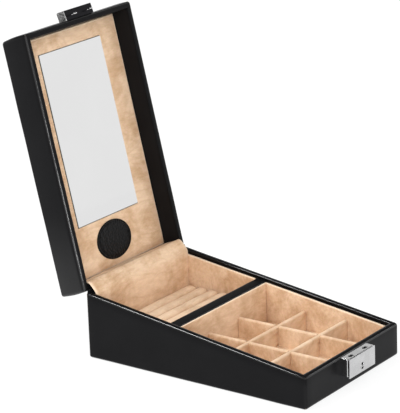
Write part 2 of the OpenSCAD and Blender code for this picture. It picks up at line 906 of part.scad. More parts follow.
hasp_hooks();
hasp_rivets();
lock_case();
lock_cover();
lock_catch();
lock_spring();
lock_key_barrel();
lock_rivets();
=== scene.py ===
import json
import math

import bpy
from mathutils import Matrix, Vector, noise


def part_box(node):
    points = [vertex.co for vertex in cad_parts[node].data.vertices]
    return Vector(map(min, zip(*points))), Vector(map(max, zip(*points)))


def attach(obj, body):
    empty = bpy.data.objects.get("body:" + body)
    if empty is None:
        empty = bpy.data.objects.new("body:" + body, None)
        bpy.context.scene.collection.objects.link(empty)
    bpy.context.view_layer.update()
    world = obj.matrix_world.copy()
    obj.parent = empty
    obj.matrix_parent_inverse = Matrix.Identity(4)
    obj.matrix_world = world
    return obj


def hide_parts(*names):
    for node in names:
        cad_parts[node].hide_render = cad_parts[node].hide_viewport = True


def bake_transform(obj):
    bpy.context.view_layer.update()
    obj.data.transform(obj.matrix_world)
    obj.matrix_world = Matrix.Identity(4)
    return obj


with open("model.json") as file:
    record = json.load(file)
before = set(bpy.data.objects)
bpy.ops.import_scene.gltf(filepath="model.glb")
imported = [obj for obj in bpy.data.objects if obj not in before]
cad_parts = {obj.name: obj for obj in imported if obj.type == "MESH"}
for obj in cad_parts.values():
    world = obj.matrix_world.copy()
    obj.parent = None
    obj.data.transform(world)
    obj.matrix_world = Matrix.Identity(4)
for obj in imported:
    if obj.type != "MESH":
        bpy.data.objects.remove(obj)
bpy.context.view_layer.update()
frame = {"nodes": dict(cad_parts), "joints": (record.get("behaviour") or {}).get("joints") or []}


# Camera
# It stands in front of the box and to its left, a little above it, and looks at the middle
# of the open box through a long lens.
camera_azimuth = math.radians(53.36)
camera_elevation = math.radians(17.906)
camera_roll = math.radians(-2.08)
camera_distance = 1.5289
camera_aim = Vector((0, 0.0255, 0.0348))
camera_right_shift = -0.00797
camera_up_shift = 0.06647
camera_sensor = 36
camera_lens = 191.71

forward = Vector((math.sin(camera_azimuth) * math.cos(camera_elevation),
                  math.cos(camera_azimuth) * math.cos(camera_elevation),
                  -math.sin(camera_elevation)))
level_right = Vector((math.cos(camera_azimuth), -math.sin(camera_azimuth), 0))
level_up = level_right.cross(forward)
right = level_right * math.cos(camera_roll) + level_up * math.sin(camera_roll)
up = -level_right * math.sin(camera_roll) + level_up * math.cos(camera_roll)
lens = bpy.data.cameras.new("camera")
lens.sensor_fit = "VERTICAL"
lens.sensor_height = camera_sensor
lens.lens = camera_lens
lens.clip_end = 50
camera = bpy.data.objects.new("camera", lens)
bpy.context.scene.collection.objects.link(camera)
place = camera_aim - forward * camera_distance + right * camera_right_shift + up * camera_up_shift
turned = Matrix((right, up, -forward)).transposed().to_4x4()
camera.matrix_world = Matrix.Translation(place) @ turned
bpy.context.scene.camera = camera


# Studio
# A white sweep of floor and wall in an evenly lit room with a darker ceiling. A broad lamp near
# the camera fills the bays, and four small ones draw the leather's round edges.
floor_size = 12
floor_colour = (0.86, 0.86, 0.86, 1)
floor_glow = 1.12
floor_glow_share = 0.72
room_light = 0.74
wall_top = 0.36
wall_fade = 0.04
ceiling_shade = 0.06
# Each lamp: where it stands, where it points, its width, its power in watts
lamps = {
    "lamp_key": ((-1.4, -1.05, 0.95), (0, 0, 0.05), 1.0, 16.5),
    "lamp_overhead": ((0.1, -0.1, 1.7), (0, 0, 0.04), 0.5, 1.0),
    "lamp_back_left": ((-0.76, 0.76, 1.6), (0, 0.02, 0.08), 0.4, 14.0),
    "lamp_right_front": ((1.4, -0.62, 1.05), (0, 0, 0.08), 0.3, 0.9),
    "lamp_low_left": ((-1.25, -1.55, 0.14), (0, 0.05, 0.12), 0.26, 7.0),
}

bpy.context.scene.view_settings.view_transform = "Standard"


def wire(tree, *links):
    """Joins sockets of a node tree. Each link is a node, its output, a node and its input."""
    for source, output, target, put_in in links:
        tree.links.new(source.outputs[output], target.inputs[put_in])


def settle(made, **values):
    """Sets a node's inputs by name, with _ for each space, or by number as n0 and n1."""
    for label, value in values.items():
        numbered = label[0] == "n" and label[1:].isdigit()
        made.inputs[int(label[1:]) if numbered else label.replace("_", " ")].default_value = value
    return made


def node(tree, kind, operation=None, **values):
    """A new shader node with its operation and its unlinked inputs set."""
    made = tree.nodes.new("ShaderNode" + kind)
    if operation:
        made.operation = operation
    return settle(made, **values)


def new_material(name, **values):
    """A new material, its node tree, and its shader with inputs set."""
    made = bpy.data.materials.new(name)
    made.use_nodes = True
    return made, made.node_tree, settle(made.node_tree.nodes["Principled BSDF"], **values)


bpy.ops.mesh.primitive_plane_add(size=floor_size)
floor = bpy.context.active_object
floor.name = "floor"
floor_paint, tree, matt = new_material("white_sweep", Base_Color=floor_colour, Roughness=0.9,
                                       Specular_IOR_Level=0.1)
glow = node(tree, "Emission", Strength=floor_glow)
seen = node(tree, "LightPath")
either = node(tree, "Math", "MAXIMUM")
share = node(tree, "Math", "MULTIPLY", n1=floor_glow_share)
both = node(tree, "MixShader")
wire(tree,
     (seen, "Is Camera Ray", either, 0), (seen, "Is Glossy Ray", either, 1),
     (either, 0, share, 0), (share, 0, both, "Fac"), (matt, 0, both, 1), (glow, 0, both, 2),
     (both, 0, tree.nodes["Material Output"], "Surface"))
floor.data.materials.append(floor_paint)

world = bpy.data.worlds.new("room")
bpy.context.scene.world = world
world.use_nodes = True
tree = world.node_tree
room = settle(tree.nodes["Background"], Color=(1, 1, 1, 1))
seen = node(tree, "LightPath")
facing = node(tree, "TexCoord")
facing_parts = node(tree, "SeparateXYZ")
wall_or_ceiling = node(tree, "MapRange", From_Min=wall_top, From_Max=wall_top + wall_fade,
                       To_Min=1, To_Max=ceiling_shade)
mirrored = node(tree, "Mix", A=room_light)
strength = node(tree, "Mix", B=1)
wire(tree,
     (facing, "Generated", facing_parts, 0), (facing_parts, "Z", wall_or_ceiling, 0),
     (seen, "Is Glossy Ray", mirrored, "Factor"), (wall_or_ceiling, 0, mirrored, "B"),
     (seen, "Is Camera Ray", strength, "Factor"), (mirrored, "Result", strength, "A"),
     (strength, "Result", room, "Strength"))

for name, (stand, aim, width, power) in lamps.items():
    lamp = bpy.data.lights.new(name, "AREA")
    lamp.shape = "SQUARE"
    lamp.size = width
    lamp.energy = power
    holder = bpy.data.objects.new(name, lamp)
    bpy.context.scene.collection.objects.link(holder)
    turn = (Vector(aim) - Vector(stand)).to_track_quat("-Z", "Y")
    holder.matrix_world = Matrix.Translation(stand) @ turn.to_matrix().to_4x4()
    # The broad lamp lights the plated lock without showing in it
    holder.visible_glossy = name != "lamp_key"


# Base cover
# One skin of smooth black leather, glued round the wedge-shaped board base, turned down
# inside the rim and turned under the bottom. Every fold over a board edge is round.
mm = 0.001
base_low, base_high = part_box("base_leather")
half_w = base_high.x
half_d = base_high.y
back_rim = base_high.z
front_rim = 23 * mm
leather_bottom = base_low.z
wall = 4.4 * mm
edge_r = 1.4 * mm
inner_edge_r = 0.8 * mm
bottom_r = 1.5 * mm
corner_r = 2.3 * mm
least_corner_r = 0.3 * mm
leather_thickness = 0.5 * mm
turned_in = 4.4 * mm
turned_in_edge = 0.48 * mm
turned_under = 9.9 * mm
rim_dome = 0.22 * mm
softness = 0.12 * mm
wave_length = 28 * mm
corner_steps = 6
long_steps = 30
short_steps = 20
wall_steps = 8
leather_colour = (0.0066, 0.0066, 0.0072, 1)
leather_painted_shade = (0.0012, 0.0012, 0.0014, 1)
edge_gloss = 1.0
edge_polish = 0.13
# A point's rub is 1 where the leather is burnished and glossier, 0 where it is plain, and below
# 0 where painted shade darkens its colour towards near black
corner_shine = 0.12
bottom_shine = 0.4
# Painted shade: the rim's top and the turned-in band inside it are dyed darker, and so is a band of the
# sides just below the rim fold, which fades in towards the fold
top_painted_shade = -0.75
side_painted_shade = -0.5
side_shade_reach = 5 * mm
# The corners shine, and hands polish the sides from a share of the half depth on
side_reach = 1 * mm
handled_from = 0.35


def rim(y):
    """Height of the base's sloping rim at a depth y."""
    return front_rim + (y + half_d) / (2 * half_d) * (back_rim - front_rim)


def perimeter(hx, hy, radius):
    """Points round a rectangle with round corners, from -x -y anticlockwise, always as many."""
    radius = max(min(radius, hx, hy), 0.02 * mm)
    points = []
    sides = [((-1, -1), (1, 0), short_steps), ((1, -1), (0, 1), long_steps),
             ((1, 1), (-1, 0), short_steps), ((-1, 1), (0, -1), long_steps)]
    for (sx, sy), (dx, dy), steps in sides:
        centre = Vector((sx * (hx - radius), sy * (hy - radius)))
        start = math.atan2(sy, sx) - math.pi / 4
        for i in range(corner_steps + 1):
            a = start + i / corner_steps * math.pi / 2
            points.append(centre + radius * Vector((math.cos(a), math.sin(a))))
        run = 2 * (hx - radius) if dx else 2 * (hy - radius)
        for i in range(1, steps):
            points.append(points[-1] + Vector((dx, dy)) * run / steps)
    return points


def arc(across, height, radius, start, end, steps):
    """Points of a round fold in a section, from one angle to the other, in degrees."""
    angles = [math.radians(start + (end - start) * i / steps) for i in range(steps + 1)]
    return [(across + radius * math.cos(a), height + radius * math.sin(a)) for a in angles]


def folded(across, height, radius, start, end, steps):
    """An arc of a section with its rub: most in the middle of the fold."""
    points = arc(across, height, radius, start, end, steps)
    return [(a, h, math.sin(math.pi * i / steps) ** 0.6) for i, (a, h) in enumerate(points)]


def loft(name, rings, first_cap=False, last_cap=False, rubs=None, more_faces=(), sharp=50):
    """A skin over closed rings of equally many points. rubs gives each ring, or each point, its
    rub, which carries burnish, paleness and painted light; folds over the sharp angle stay crisp."""
    count = len(rings[0])
    points = [tuple(p) for ring in rings for p in ring]
    faces = [(r * count + i, r * count + (i + 1) % count,
              (r + 1) * count + (i + 1) % count, (r + 1) * count + i)
             for r in range(len(rings) - 1) for i in range(count)]
    if first_cap:
        faces.append(tuple(range(count - 1, -1, -1)))
    if last_cap:
        faces.append(tuple((len(rings) - 1) * count + i for i in range(count)))
    faces += more_faces
    mesh = bpy.data.meshes.new(name)
    mesh.from_pydata(points, [], faces)
    mesh.validate()
    if rubs is not None:
        values = []
        for rub in rubs:
            values += rub if isinstance(rub, list) else [rub] * count
        mesh.attributes.new("rub_and_painted_light", "FLOAT", "POINT").data.foreach_set("value", values)
    mesh.shade_smooth()
    mesh.set_sharp_from_angle(angle=math.radians(sharp))
    piece = bpy.data.objects.new(name, mesh)
    bpy.context.scene.collection.objects.link(piece)
    return piece


def soften(piece, amount, size):
    """Moves a covered surface in and out by a slow, even unevenness, as glue and board leave it."""
    normals = [v.normal.copy() for v in piece.data.vertices]
    for v, n in zip(piece.data.vertices, normals):
        v.co += n * noise.noise(v.co / size) * amount


def fitted(piece, material, body, slot, *nodes):
    """Gives a piece its material and its body, and hides the solids it stands for. slot is not used."""
    if material:
        piece.data.materials.append(material)
    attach(piece, body)
    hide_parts(*nodes)


def new_group(name, inputs, outputs):
    """An empty shader group with named float or colour sockets, and its two end nodes."""
    group = bpy.data.node_groups.new(name, "ShaderNodeTree")
    for label, kind, value in inputs:
        socket = group.interface.new_socket(label, in_out="INPUT", socket_type="NodeSocket" + kind)
        if value is not None:
            socket.default_value = value
    for label, kind in outputs:
        group.interface.new_socket(label, in_out="OUTPUT", socket_type="NodeSocket" + kind)
    return group, group.nodes.new("NodeGroupInput"), group.nodes.new("NodeGroupOutput")


def colour_mix(tree, first=None, second=None):
    """A node that mixes two colours. One that isn't given comes in by a link."""
    made = tree.nodes.new("ShaderNodeMix")
    made.data_type = "RGBA"
    for label, colour in (("A", first), ("B", second)):
        if colour is not None:
            made.inputs[label].default_value = colour
    return made


def toned(colour, share):
    """A colour made darker or lighter."""
    return [c * share for c in colour[:3]] + [1]


# The leather's grain: fine pebbles broken up by a softer noise, with slow changes in polish
grain, grain_in, grain_out = new_group(
    "leather_grain",
    [("Position", "Vector", None), ("Pebble size", "Float", 0.7), ("Polish", "Float", 0.42),
     ("Polish spread", "Float", 0.1)],
    [("Height", "Float"), ("Roughness", "Float"), ("Rub", "Float")])
per_size = node(grain, "Math", "DIVIDE", n0=1000)
scaled = node(grain, "VectorMath", "SCALE")
wander = node(grain, "TexNoise", Scale=0.9, Detail=2)
drift = node(grain, "VectorMath", "MULTIPLY_ADD", n1=(0.5, 0.5, 0.5))
pebbles = node(grain, "TexVoronoi", Scale=1)
creases = node(grain, "TexNoise", Scale=0.35, Detail=4, Roughness=0.6)
pebble_height = node(grain, "Math", "MULTIPLY_ADD", n1=0.55)
slow = node(grain, "TexNoise", Scale=38, Detail=3)
low_end = node(grain, "Math", "SUBTRACT")
high_end = node(grain, "Math", "ADD")
rough = node(grain, "MapRange")
wire(grain,
     (grain_in, "Pebble size", per_size, 1), (grain_in, "Position", scaled, 0),
     (per_size, 0, scaled, "Scale"), (scaled, 0, wander, "Vector"), (wander, "Color", drift, 0),
     (scaled, 0, drift, 2), (drift, 0, pebbles, "Vector"), (scaled, 0, creases, "Vector"),
     (creases, "Fac", pebble_height, 0), (pebbles, "Distance", pebble_height, 2),
     (pebble_height, 0, grain_out, "Height"), (grain_in, "Position", slow, "Vector"),
     (grain_in, "Polish", low_end, 0), (grain_in, "Polish spread", low_end, 1),
     (grain_in, "Polish", high_end, 0), (grain_in, "Polish spread", high_end, 1),
     (slow, "Fac", rough, "Value"), (low_end, 0, rough, "To Min"), (high_end, 0, rough, "To Max"),
     (rough, 0, grain_out, "Roughness"), (slow, "Fac", grain_out, "Rub"))


def leather(name, colour, polish, pebble_size, depth, shine):
    """A dyed leather with its grain as relief, burnished where it is drawn over an edge, and darkened by
    painted shade where its rub is below 0.
    """
    made, tree, skin = new_material(name, Specular_IOR_Level=shine, Coat_Roughness=edge_polish)
    rub_and_painted_light = node(tree, "Attribute")
    rub_and_painted_light.attribute_name = "rub_and_painted_light"
    where = node(tree, "TexCoord")
    relief = node(tree, "Group")
    relief.node_tree = grain
    settle(relief, Pebble_size=pebble_size, Polish=polish, Polish_spread=0.09)
    bump = node(tree, "Bump", Strength=0.35, Distance=depth)
    dye = colour_mix(tree, toned(colour, 0.8), toned(colour, 1.35))
    burnish = node(tree, "Math", "MULTIPLY", n1=edge_gloss)
    burnish.use_clamp = True
    painted_shade_amount = node(tree, "Math", "MULTIPLY", n1=-1)
    painted_shade_amount.use_clamp = True
    # Painted shade: a rub below 0 mixes the dye towards near black, for darker tops and bands
    painted_shade_mix = colour_mix(tree, None, leather_painted_shade)
    wire(tree,
         (where, "Object", relief, "Position"), (relief, "Height", bump, "Height"),
         (rub_and_painted_light, "Fac", burnish, 0), (burnish, 0, skin, "Coat Weight"),
         (relief, "Roughness", skin, "Roughness"), (relief, "Rub", dye, "Factor"),
         (dye, "Result", painted_shade_mix, "A"), (rub_and_painted_light, "Fac", painted_shade_amount, 0), (painted_shade_amount, 0, painted_shade_mix, "Factor"),
         (painted_shade_mix, "Result", skin, "Base Color"), (bump, 0, skin, "Normal"))
    return made


black_leather = leather("black_leather", leather_colour, 0.32, 0.75, 0.05 * mm, 0.07)
corner_rub = []
for steps in (short_steps, long_steps, short_steps, long_steps):
    corner_rub += [math.sin(math.pi * i / corner_steps) for i in range(corner_steps + 1)]
    corner_rub += [0] * (steps - 1)


def wrapped(name, section, height_at, last_cap=False, handled=0):
    """Leather laid round the box by a section of (inset, height share, height offset, rub)."""
    rings = []
    rubs = []
    for inset, share_up, offset, rub in section:
        points = perimeter(half_w - inset, half_d - inset, max(corner_r - inset, least_corner_r))
        rings.append([(p.x, p.y, height_at(p.y, share_up) + offset) for p in points])
        if inset < side_reach:
            rub = [rub + c * corner_shine + handled * max(0, p.y / half_d - handled_from)
                   for c, p in zip(corner_rub, points)]
        rubs.append(rub)
    return loft(name, rings, False, last_cap, rubs)


base_section = [(turned_under, 0, leather_bottom + leather_thickness, 0),
                (turned_under, 0, leather_bottom, 0), (edge_r + 1 * mm, 0, leather_bottom, 0)]
base_section += [(bottom_r - a, 0, leather_bottom + h, rub * bottom_shine)
                 for a, h, rub in folded(0, bottom_r, bottom_r, -90, 0, 6)]
for i in range(1, wall_steps):
    share_up = i / wall_steps
    below_rim = (edge_r + side_shade_reach) * share_up
    base_section.append((0, share_up, (leather_bottom + bottom_r) * (1 - share_up) - below_rim, 0))
# Painted shade on the side: a dark band that grows towards the rim fold
for t in (0, 0.35, 0.7):
    base_section.append((0, 1, -edge_r - side_shade_reach * (1 - t), side_painted_shade * t))
base_section += [(edge_r - a, 1, h - edge_r, rub + side_painted_shade * (1 - rub))
                 for a, h, rub in folded(0, 0, edge_r, 0, 90, 8)]
base_section += [(edge_r + 0.3 * mm, 1, rim_dome * 0.7, 0),
                 (wall / 2 + 0.2 * mm, 1, rim_dome, top_painted_shade),
                 (wall - inner_edge_r - 0.3 * mm, 1, rim_dome * 0.6, top_painted_shade)]
base_section += [(wall - a, 1, h - inner_edge_r, rub)
                 for a, h, rub in folded(inner_edge_r, 0, inner_edge_r, 90, 180, 6)]
base_section += [(wall, 1, -inner_edge_r - 0.5 * mm, top_painted_shade), (wall, 1, -turned_in, top_painted_shade),
                 (wall - turned_in_edge, 1, -turned_in, top_painted_shade)]
base_cover = wrapped("base_cover", base_section, lambda y, share_up: rim(y) * share_up)
soften(base_cover, softness, wave_length)
fitted(base_cover, black_leather, "base", "leather_black", "base_leather")


# Underside sheet
# A flat black cloth on thin card, cut a little smaller than the base. It is glued over the
# turned-under leather, and the box stands on it.
cloth_low, cloth_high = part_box("base_underside_sheet")
cloth_round = 1.5 * mm
cloth_edge = 0.3 * mm
cloth_border = 2 * mm
cloth_colour = (0.02, 0.02, 0.022, 1)
thread_size = 0.45 * mm

cloth, tree, weave = new_material("black_cloth", Roughness=0.9, Specular_IOR_Level=0.2)
where = node(tree, "TexCoord")
over = node(tree, "Math", "MAXIMUM")
for i, direction in enumerate("XY"):
    threads = node(tree, "TexWave", Scale=1 / thread_size / 2)
    threads.bands_direction = direction
    wire(tree, (where, "Object", threads, "Vector"), (threads, "Fac", over, i))
bump = node(tree, "Bump", Strength=0.4, Distance=thread_size / 3)
shade = colour_mix(tree, toned(cloth_colour, 0.6), cloth_colour)
wire(tree, (over, 0, bump, "Height"), (over, 0, shade, "Factor"),
     (shade, "Result", weave, "Base Color"), (bump, 0, weave, "Normal"))

cloth_profile = [(cloth_edge, cloth_high.z), (0, cloth_high.z - cloth_edge),
                 (0, cloth_low.z + cloth_edge), (cloth_edge, cloth_low.z), (cloth_border, cloth_low.z)]
cloth_rings = []
for inset, z in cloth_profile:
    edge = perimeter(cloth_high.x - inset, cloth_high.y - inset, cloth_round)
    cloth_rings.append([(p.x, p.y, z) for p in edge])
underside = loft("underside_cloth", cloth_rings, True, True)
fitted(underside, cloth, "base", "underside_cloth", "base_underside_sheet")


# Boards
# Raw fibreboard, sawn and glued into the base, the partition and the lid. It is all inside
# the leather and the linings.
board_nodes = ["base_floor_board", "base_front_board", "base_back_board", "base_left_board",
               "base_right_board", "partition_board", "partition_rail", "lid_top_board",
               "lid_front_board", "lid_back_board", "lid_left_board", "lid_right_board"]
board_dark = (0.24, 0.15, 0.08, 1)
board_light = (0.42, 0.29, 0.17, 1)


def raw_stuff(name, dark, light, rough, strength, depth, kind, **values):
    """Board or foam: two tones and a relief that both follow one texture."""
    made, tree, shader = new_material(name, Roughness=rough)
    texture = node(tree, kind, **values)
    tone = colour_mix(tree, dark, light)
    bump = node(tree, "Bump", Strength=strength, Distance=depth)
    wire(tree, (node(tree, "TexCoord"), "Object", texture, "Vector"), (texture, 0, tone, "Factor"),
         (texture, 0, bump, "Height"), (tone, "Result", shader, "Base Color"),
         (bump, 0, shader, "Normal"))
    return made


def finish_node(name, material):
    """Gives a carried-over solid its material."""
    frame["nodes"][name].data.materials.clear()
    frame["nodes"][name].data.materials.append(material)


board = raw_stuff("fibreboard", board_dark, board_light, 0.85, 0.3, 0.1 * mm, "TexNoise",
                  Scale=900, Detail=5)
for name in board_nodes:
    finish_node(name, board)


# Partition cap
# The leather-covered rail on the wall between the two bays. It is round on both long edges
# and lies a little below the rim, between the turned-in leather at both ends.
cap_low, cap_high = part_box("partition_leather")
cap_middle_y = (cap_low.y + cap_high.y) / 2
cap_edge_r = 1.6 * mm
cap_flat = 0.5 * mm
cap_dome = 0.12 * mm
cap_steps = 24
cap_drop = rim(cap_high.y) - cap_high.z
cap_depth = 3.6 * mm
cap_wear = 0.55
# Painted shade: the cap's flat top is darker in colour than its folds
cap_painted_shade = top_painted_shade * 0.6
cap_wave_length = 20 * mm

cap_outline = folded(cap_high.y - cap_edge_r, -cap_edge_r, cap_edge_r, 0, 90, 6)
cap_outline += [(cap_high.y - cap_edge_r - cap_flat, 0, cap_painted_shade),
                (cap_middle_y, cap_dome, cap_painted_shade),
                (cap_low.y + cap_edge_r + cap_flat, 0, cap_painted_shade)]
cap_outline += folded(cap_low.y + cap_edge_r, -cap_edge_r, cap_edge_r, 90, 180, 6)
cap_outline += [(cap_low.y, -cap_depth, 0), (cap_high.y, -cap_depth, 0)]
cap_outline.reverse()
cap_rubs = [rub if rub < 0 else rub * cap_wear for y, h, rub in cap_outline]
cap_rings = []
for i in range(cap_steps + 1):
    x = cap_low.x + (cap_high.x - cap_low.x) * i / cap_steps
    cap_rings.append([(x, y, rim(y) - cap_drop + h) for y, h, rub in cap_outline])
partition_cap = loft("partition_cap", cap_rings, True, True, [cap_rubs] * len(cap_rings))
soften(partition_cap, softness, cap_wave_length)
fitted(partition_cap, black_leather, "base", "leather_black", "partition_leather")


# Suede cards
# The bays are lined with stiff cards covered in tan suede. The nap is brushed in patches,
# and it is paler where it is drawn over the cards' top edges: partly stretched nap, partly a painted
# highlight.
suede_colour = (0.8, 0.59, 0.41, 1)
suede_dark = (0.55, 0.345, 0.2, 1)
suede_pale_and_highlight = (0.86, 0.69, 0.52, 1)
# Painted shade: the colour the nap is darkened towards where its rub is below 0
suede_painted_shade = (0.26, 0.14, 0.075, 1)
nap_bump = 0.12 * mm
lining_drop = 3.1 * mm
lining_nodes = ["front_bay_front_lining", "front_bay_rear_lining", "front_bay_left_lining",
                "front_bay_right_lining", "ring_bay_left_lining", "ring_bay_right_lining",
                "ring_bay_front_lining", "ring_bay_back_card"]
lining_pitch = 5 * mm
lining_edge = 0.7 * mm
lining_wave = 0.1 * mm
# How much paler the top edges are: partly stretched nap, partly a painted highlight
lining_rub_and_highlight = 0.8
card_end = 0.35 * mm
card_rises = 8
card_turns = 5
card_wave_length = 14 * mm

# The nap: brushed patches, streaks along them, soft folds and short fibres. A positive rub
# makes it paler (stretched nap and painted highlight), a negative rub darkens it as painted shade
nap, nap_in, nap_out = new_group(
    "suede_nap",
    [("Position", "Vector", None), ("Rub_and_painted_light", "Float", 0), ("Colour", "Color", suede_colour),
     ("Dark", "Color", suede_dark), ("Pale_and_highlight", "Color", suede_pale_and_highlight)],
    [("Colour", "Color"), ("Height", "Float"), ("Roughness", "Float")])
swirl = node(nap, "TexNoise", Scale=20, Detail=2)
swirled = node(nap, "VectorMath", "MULTIPLY_ADD", n1=(0.016, 0.016, 0.016))
slanted = node(nap, "Mapping", Rotation=(0.3, 0.5, 0.55), Scale=(0.24, 1, 0.8))
patches = node(nap, "TexNoise", Scale=48, Detail=6, Roughness=0.54, Distortion=0.35)
streaks = node(nap, "TexNoise", Scale=430, Detail=4, Roughness=0.7)
fold = node(nap, "TexNoise", Scale=70, Detail=2, Roughness=0.5, Distortion=0.2)
fibre = node(nap, "TexNoise", Scale=1500, Detail=4, Roughness=0.75)
patch_range = node(nap, "MapRange", From_Min=0.4, From_Max=0.58)
streak_range = node(nap, "MapRange", From_Min=0.36, From_Max=0.62)
weigh = node(nap, "Math", "MULTIPLY", n1=0.64)
brushed = node(nap, "Math", "MULTIPLY_ADD", n1=0.36)
from_middle = node(nap, "Math", "SUBTRACT", n1=0.5)
either_side = node(nap, "Math", "ABSOLUTE")
fold_range = node(nap, "MapRange", From_Max=0.03, To_Min=0.22, To_Max=0)
fold_here = node(nap, "Math", "MULTIPLY")
worn = node(nap, "Math", "SUBTRACT")
worn.use_clamp = True
# Painted shade: a rub below 0 darkens the nap
nap_shade_amount = node(nap, "Math", "MULTIPLY", n1=-1)
nap_shade_amount.use_clamp = True
base_mix = colour_mix(nap)
pale_and_highlight_mix = colour_mix(nap)
shaded_nap = colour_mix(nap, None, suede_painted_shade)
fibre_mix = colour_mix(nap)
fibre_mix.blend_type = "OVERLAY"
fibre_mix.inputs["Factor"].default_value = 0.3
nap_height = node(nap, "Math", "MULTIPLY_ADD", n1=0.5)
nap_rough = node(nap, "MapRange", To_Min=0.88, To_Max=1.0)
wire(nap,
     (nap_in, "Position", swirl, "Vector"), (swirl, "Color", swirled, 0),
     (nap_in, "Position", swirled, 2), (swirled, 0, slanted, "Vector"),
     (swirled, 0, patches, "Vector"), (slanted, 0, streaks, "Vector"), (slanted, 0, fold, "Vector"),
     (nap_in, "Position", fibre, "Vector"), (patches, "Fac", patch_range, "Value"),
     (streaks, "Fac", streak_range, "Value"), (patch_range, 0, weigh, 0),
     (streak_range, 0, brushed, 0), (weigh, 0, brushed, 2), (fold, "Fac", from_middle, 0),
     (from_middle, 0, either_side, 0), (either_side, 0, fold_range, "Value"),
     (fold_range, 0, fold_here, 0), (patch_range, 0, fold_here, 1), (brushed, 0, worn, 0),
     (fold_here, 0, worn, 1), (worn, 0, base_mix, "Factor"), (nap_in, "Dark", base_mix, "A"),
     (nap_in, "Colour", base_mix, "B"), (nap_in, "Rub_and_painted_light", pale_and_highlight_mix, "Factor"),
     (base_mix, "Result", pale_and_highlight_mix, "A"), (nap_in, "Pale_and_highlight", pale_and_highlight_mix, "B"),
     (nap_in, "Rub_and_painted_light", nap_shade_amount, 0), (nap_shade_amount, 0, shaded_nap, "Factor"), (pale_and_highlight_mix, "Result", shaded_nap, "A"),
     (shaded_nap, "Result", fibre_mix, "A"), (fibre, "Color", fibre_mix, "B"),
     (fibre_mix, "Result", nap_out, "Colour"), (fibre, "Fac", nap_height, 0),
     (worn, 0, nap_height, 2), (nap_height, 0, nap_out, "Height"),
     (fibre, "Fac", nap_rough, "Value"), (nap_rough, 0, nap_out, "Roughness"))

suede, tree, hide = new_material("tan_suede", Specular_IOR_Level=0.1, Sheen_Weight=0.12,
                                 Sheen_Roughness=0.5, Sheen_Tint=(1.0, 0.85, 0.7, 1))
where = node(tree, "TexCoord")
rub_and_painted_light = node(tree, "Attribute")
rub_and_painted_light.attribute_name = "rub_and_painted_light"
brushing = node(tree, "Group")
brushing.node_tree = nap
bump = node(tree, "Bump", Strength=0.5, Distance=nap_bump)
wire(tree, (where, "Object", brushing, "Position"), (rub_and_painted_light, "Fac", brushing, "Rub_and_painted_light"),
     (brushing, "Colour", hide, "Base Color"), (brushing, "Roughness", hide, "Roughness"),
     (brushing, "Height", bump, "Height"), (bump, 0, hide, "Normal"))


def long_way(low, high):
    """The way that a card runs: 0 across the box, 1 along it."""
    return 1 if high.y - low.y > high.x - low.x else 0


def suede_card(node_name, stations, edge, wave, rub):
    """A covered card along its solid's longer side, by stations of (distance, bottom, top)."""
    low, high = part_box(node_name)
    way = long_way(low, high)
    length = high[way] - low[way]
    foot = (low + high) / 2
    foot[way] = low[way]
    foot.z = 0
    along = Vector((1 - way, way, 0))
    across = Vector((-along.y, along.x, 0))
    rings = []
    rubs = []
    for distance, bottom, top in stations:
        shrink = max(0, card_end - min(distance, length - distance))
        half = (high[1 - way] - low[1 - way]) / 2 - shrink
        peak = top - shrink
        turn = min(edge, half)
        section = [(-half, bottom + (peak - turn - bottom) * i / card_rises, 0)
                   for i in range(card_rises + 1)]
        for i in range(1, card_turns + 1):
            a = math.radians(90 * i / card_turns)
            section.append((-half + turn - math.cos(a) * turn, peak - turn + math.sin(a) * turn,
                            math.sin(a) ** 0.5))
        section += [(-a, h, m) for a, h, m in reversed(section)]
        at = foot + along * distance
        rings.append([at + across * a + Vector((0, 0, h)) for a, h, m in section])
        rubs.append([m * rub for a, h, m in section])
    card = loft("suede_" + node_name, rings, True, True, rubs)
    soften(card, wave, card_wave_length)
    fitted(card, suede, "base", "suede_tan", node_name)


def steps_along(length, pitch):
    """Distances along a card, with two close ones at each end."""
    inner = max(2, round(length / pitch))
    between = length - 2 * card_end
    return [0] + [card_end + between * i / inner for i in range(inner + 1)] + [length]


for name in lining_nodes:
    low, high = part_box(name)
    way = long_way(low, high)
    stations = []
    for s in steps_along(high[way] - low[way], lining_pitch):
        y = low.y + s if way else (low.y + high.y) / 2
        stations.append((s, low.z, rim(y) - lining_drop))
    suede_card(name, stations, lining_edge, lining_wave, lining_rub_and_highlight)


# Floor cards
# Thin padded cards covered in the same suede, laid in the bottom of both bays. Their edges
# are round, and they lie flat under the dividers and the rolls.
card_corner = 0.6 * mm
card_wave = 0.1 * mm
# Rings of the flat top, inset from the card's edge, in mm
card_top_insets = (0.9, 4, 10, 18, 26)

for name in ("front_bay_floor_card", "ring_bay_floor_card"):
    low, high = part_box(name)
    middle = (low + high) / 2
    profile = [(0.4 * mm, low.z), (0.1 * mm, low.z + 0.3 * mm), (0.1 * mm, high.z - 0.5 * mm),
               (0.35 * mm, high.z - 0.15 * mm)]
    profile += [(inset * mm, high.z) for inset in card_top_insets]
    rings = []
    for inset, z in profile:
        edge = perimeter(high.x - middle.x - inset, high.y - middle.y - inset, card_corner)
        rings.append([(p.x + middle.x, p.y + middle.y, z) for p in edge])
    card = loft("suede_" + name, rings, True, True, [0] * len(rings))
    soften(card, card_wave, 16 * mm)
    fitted(card, suede, "base", "suede_tan", name)


# Dividers
# Four covered strips of card, half-lapped into each other, make the cells. The two long
# ones are notched from above and the two cross ones from below.
long_dividers = ("divider_left", "divider_right")
cross_dividers = ("divider_front", "divider_rear")
lap_gap = 0.1 * mm
divider_pitch = 4 * mm
divider_edge = 1.45 * mm
divider_wave = 0.14 * mm
# How much paler the top edges are: partly stretched nap, partly a painted highlight
divider_rub_and_highlight = 0.25

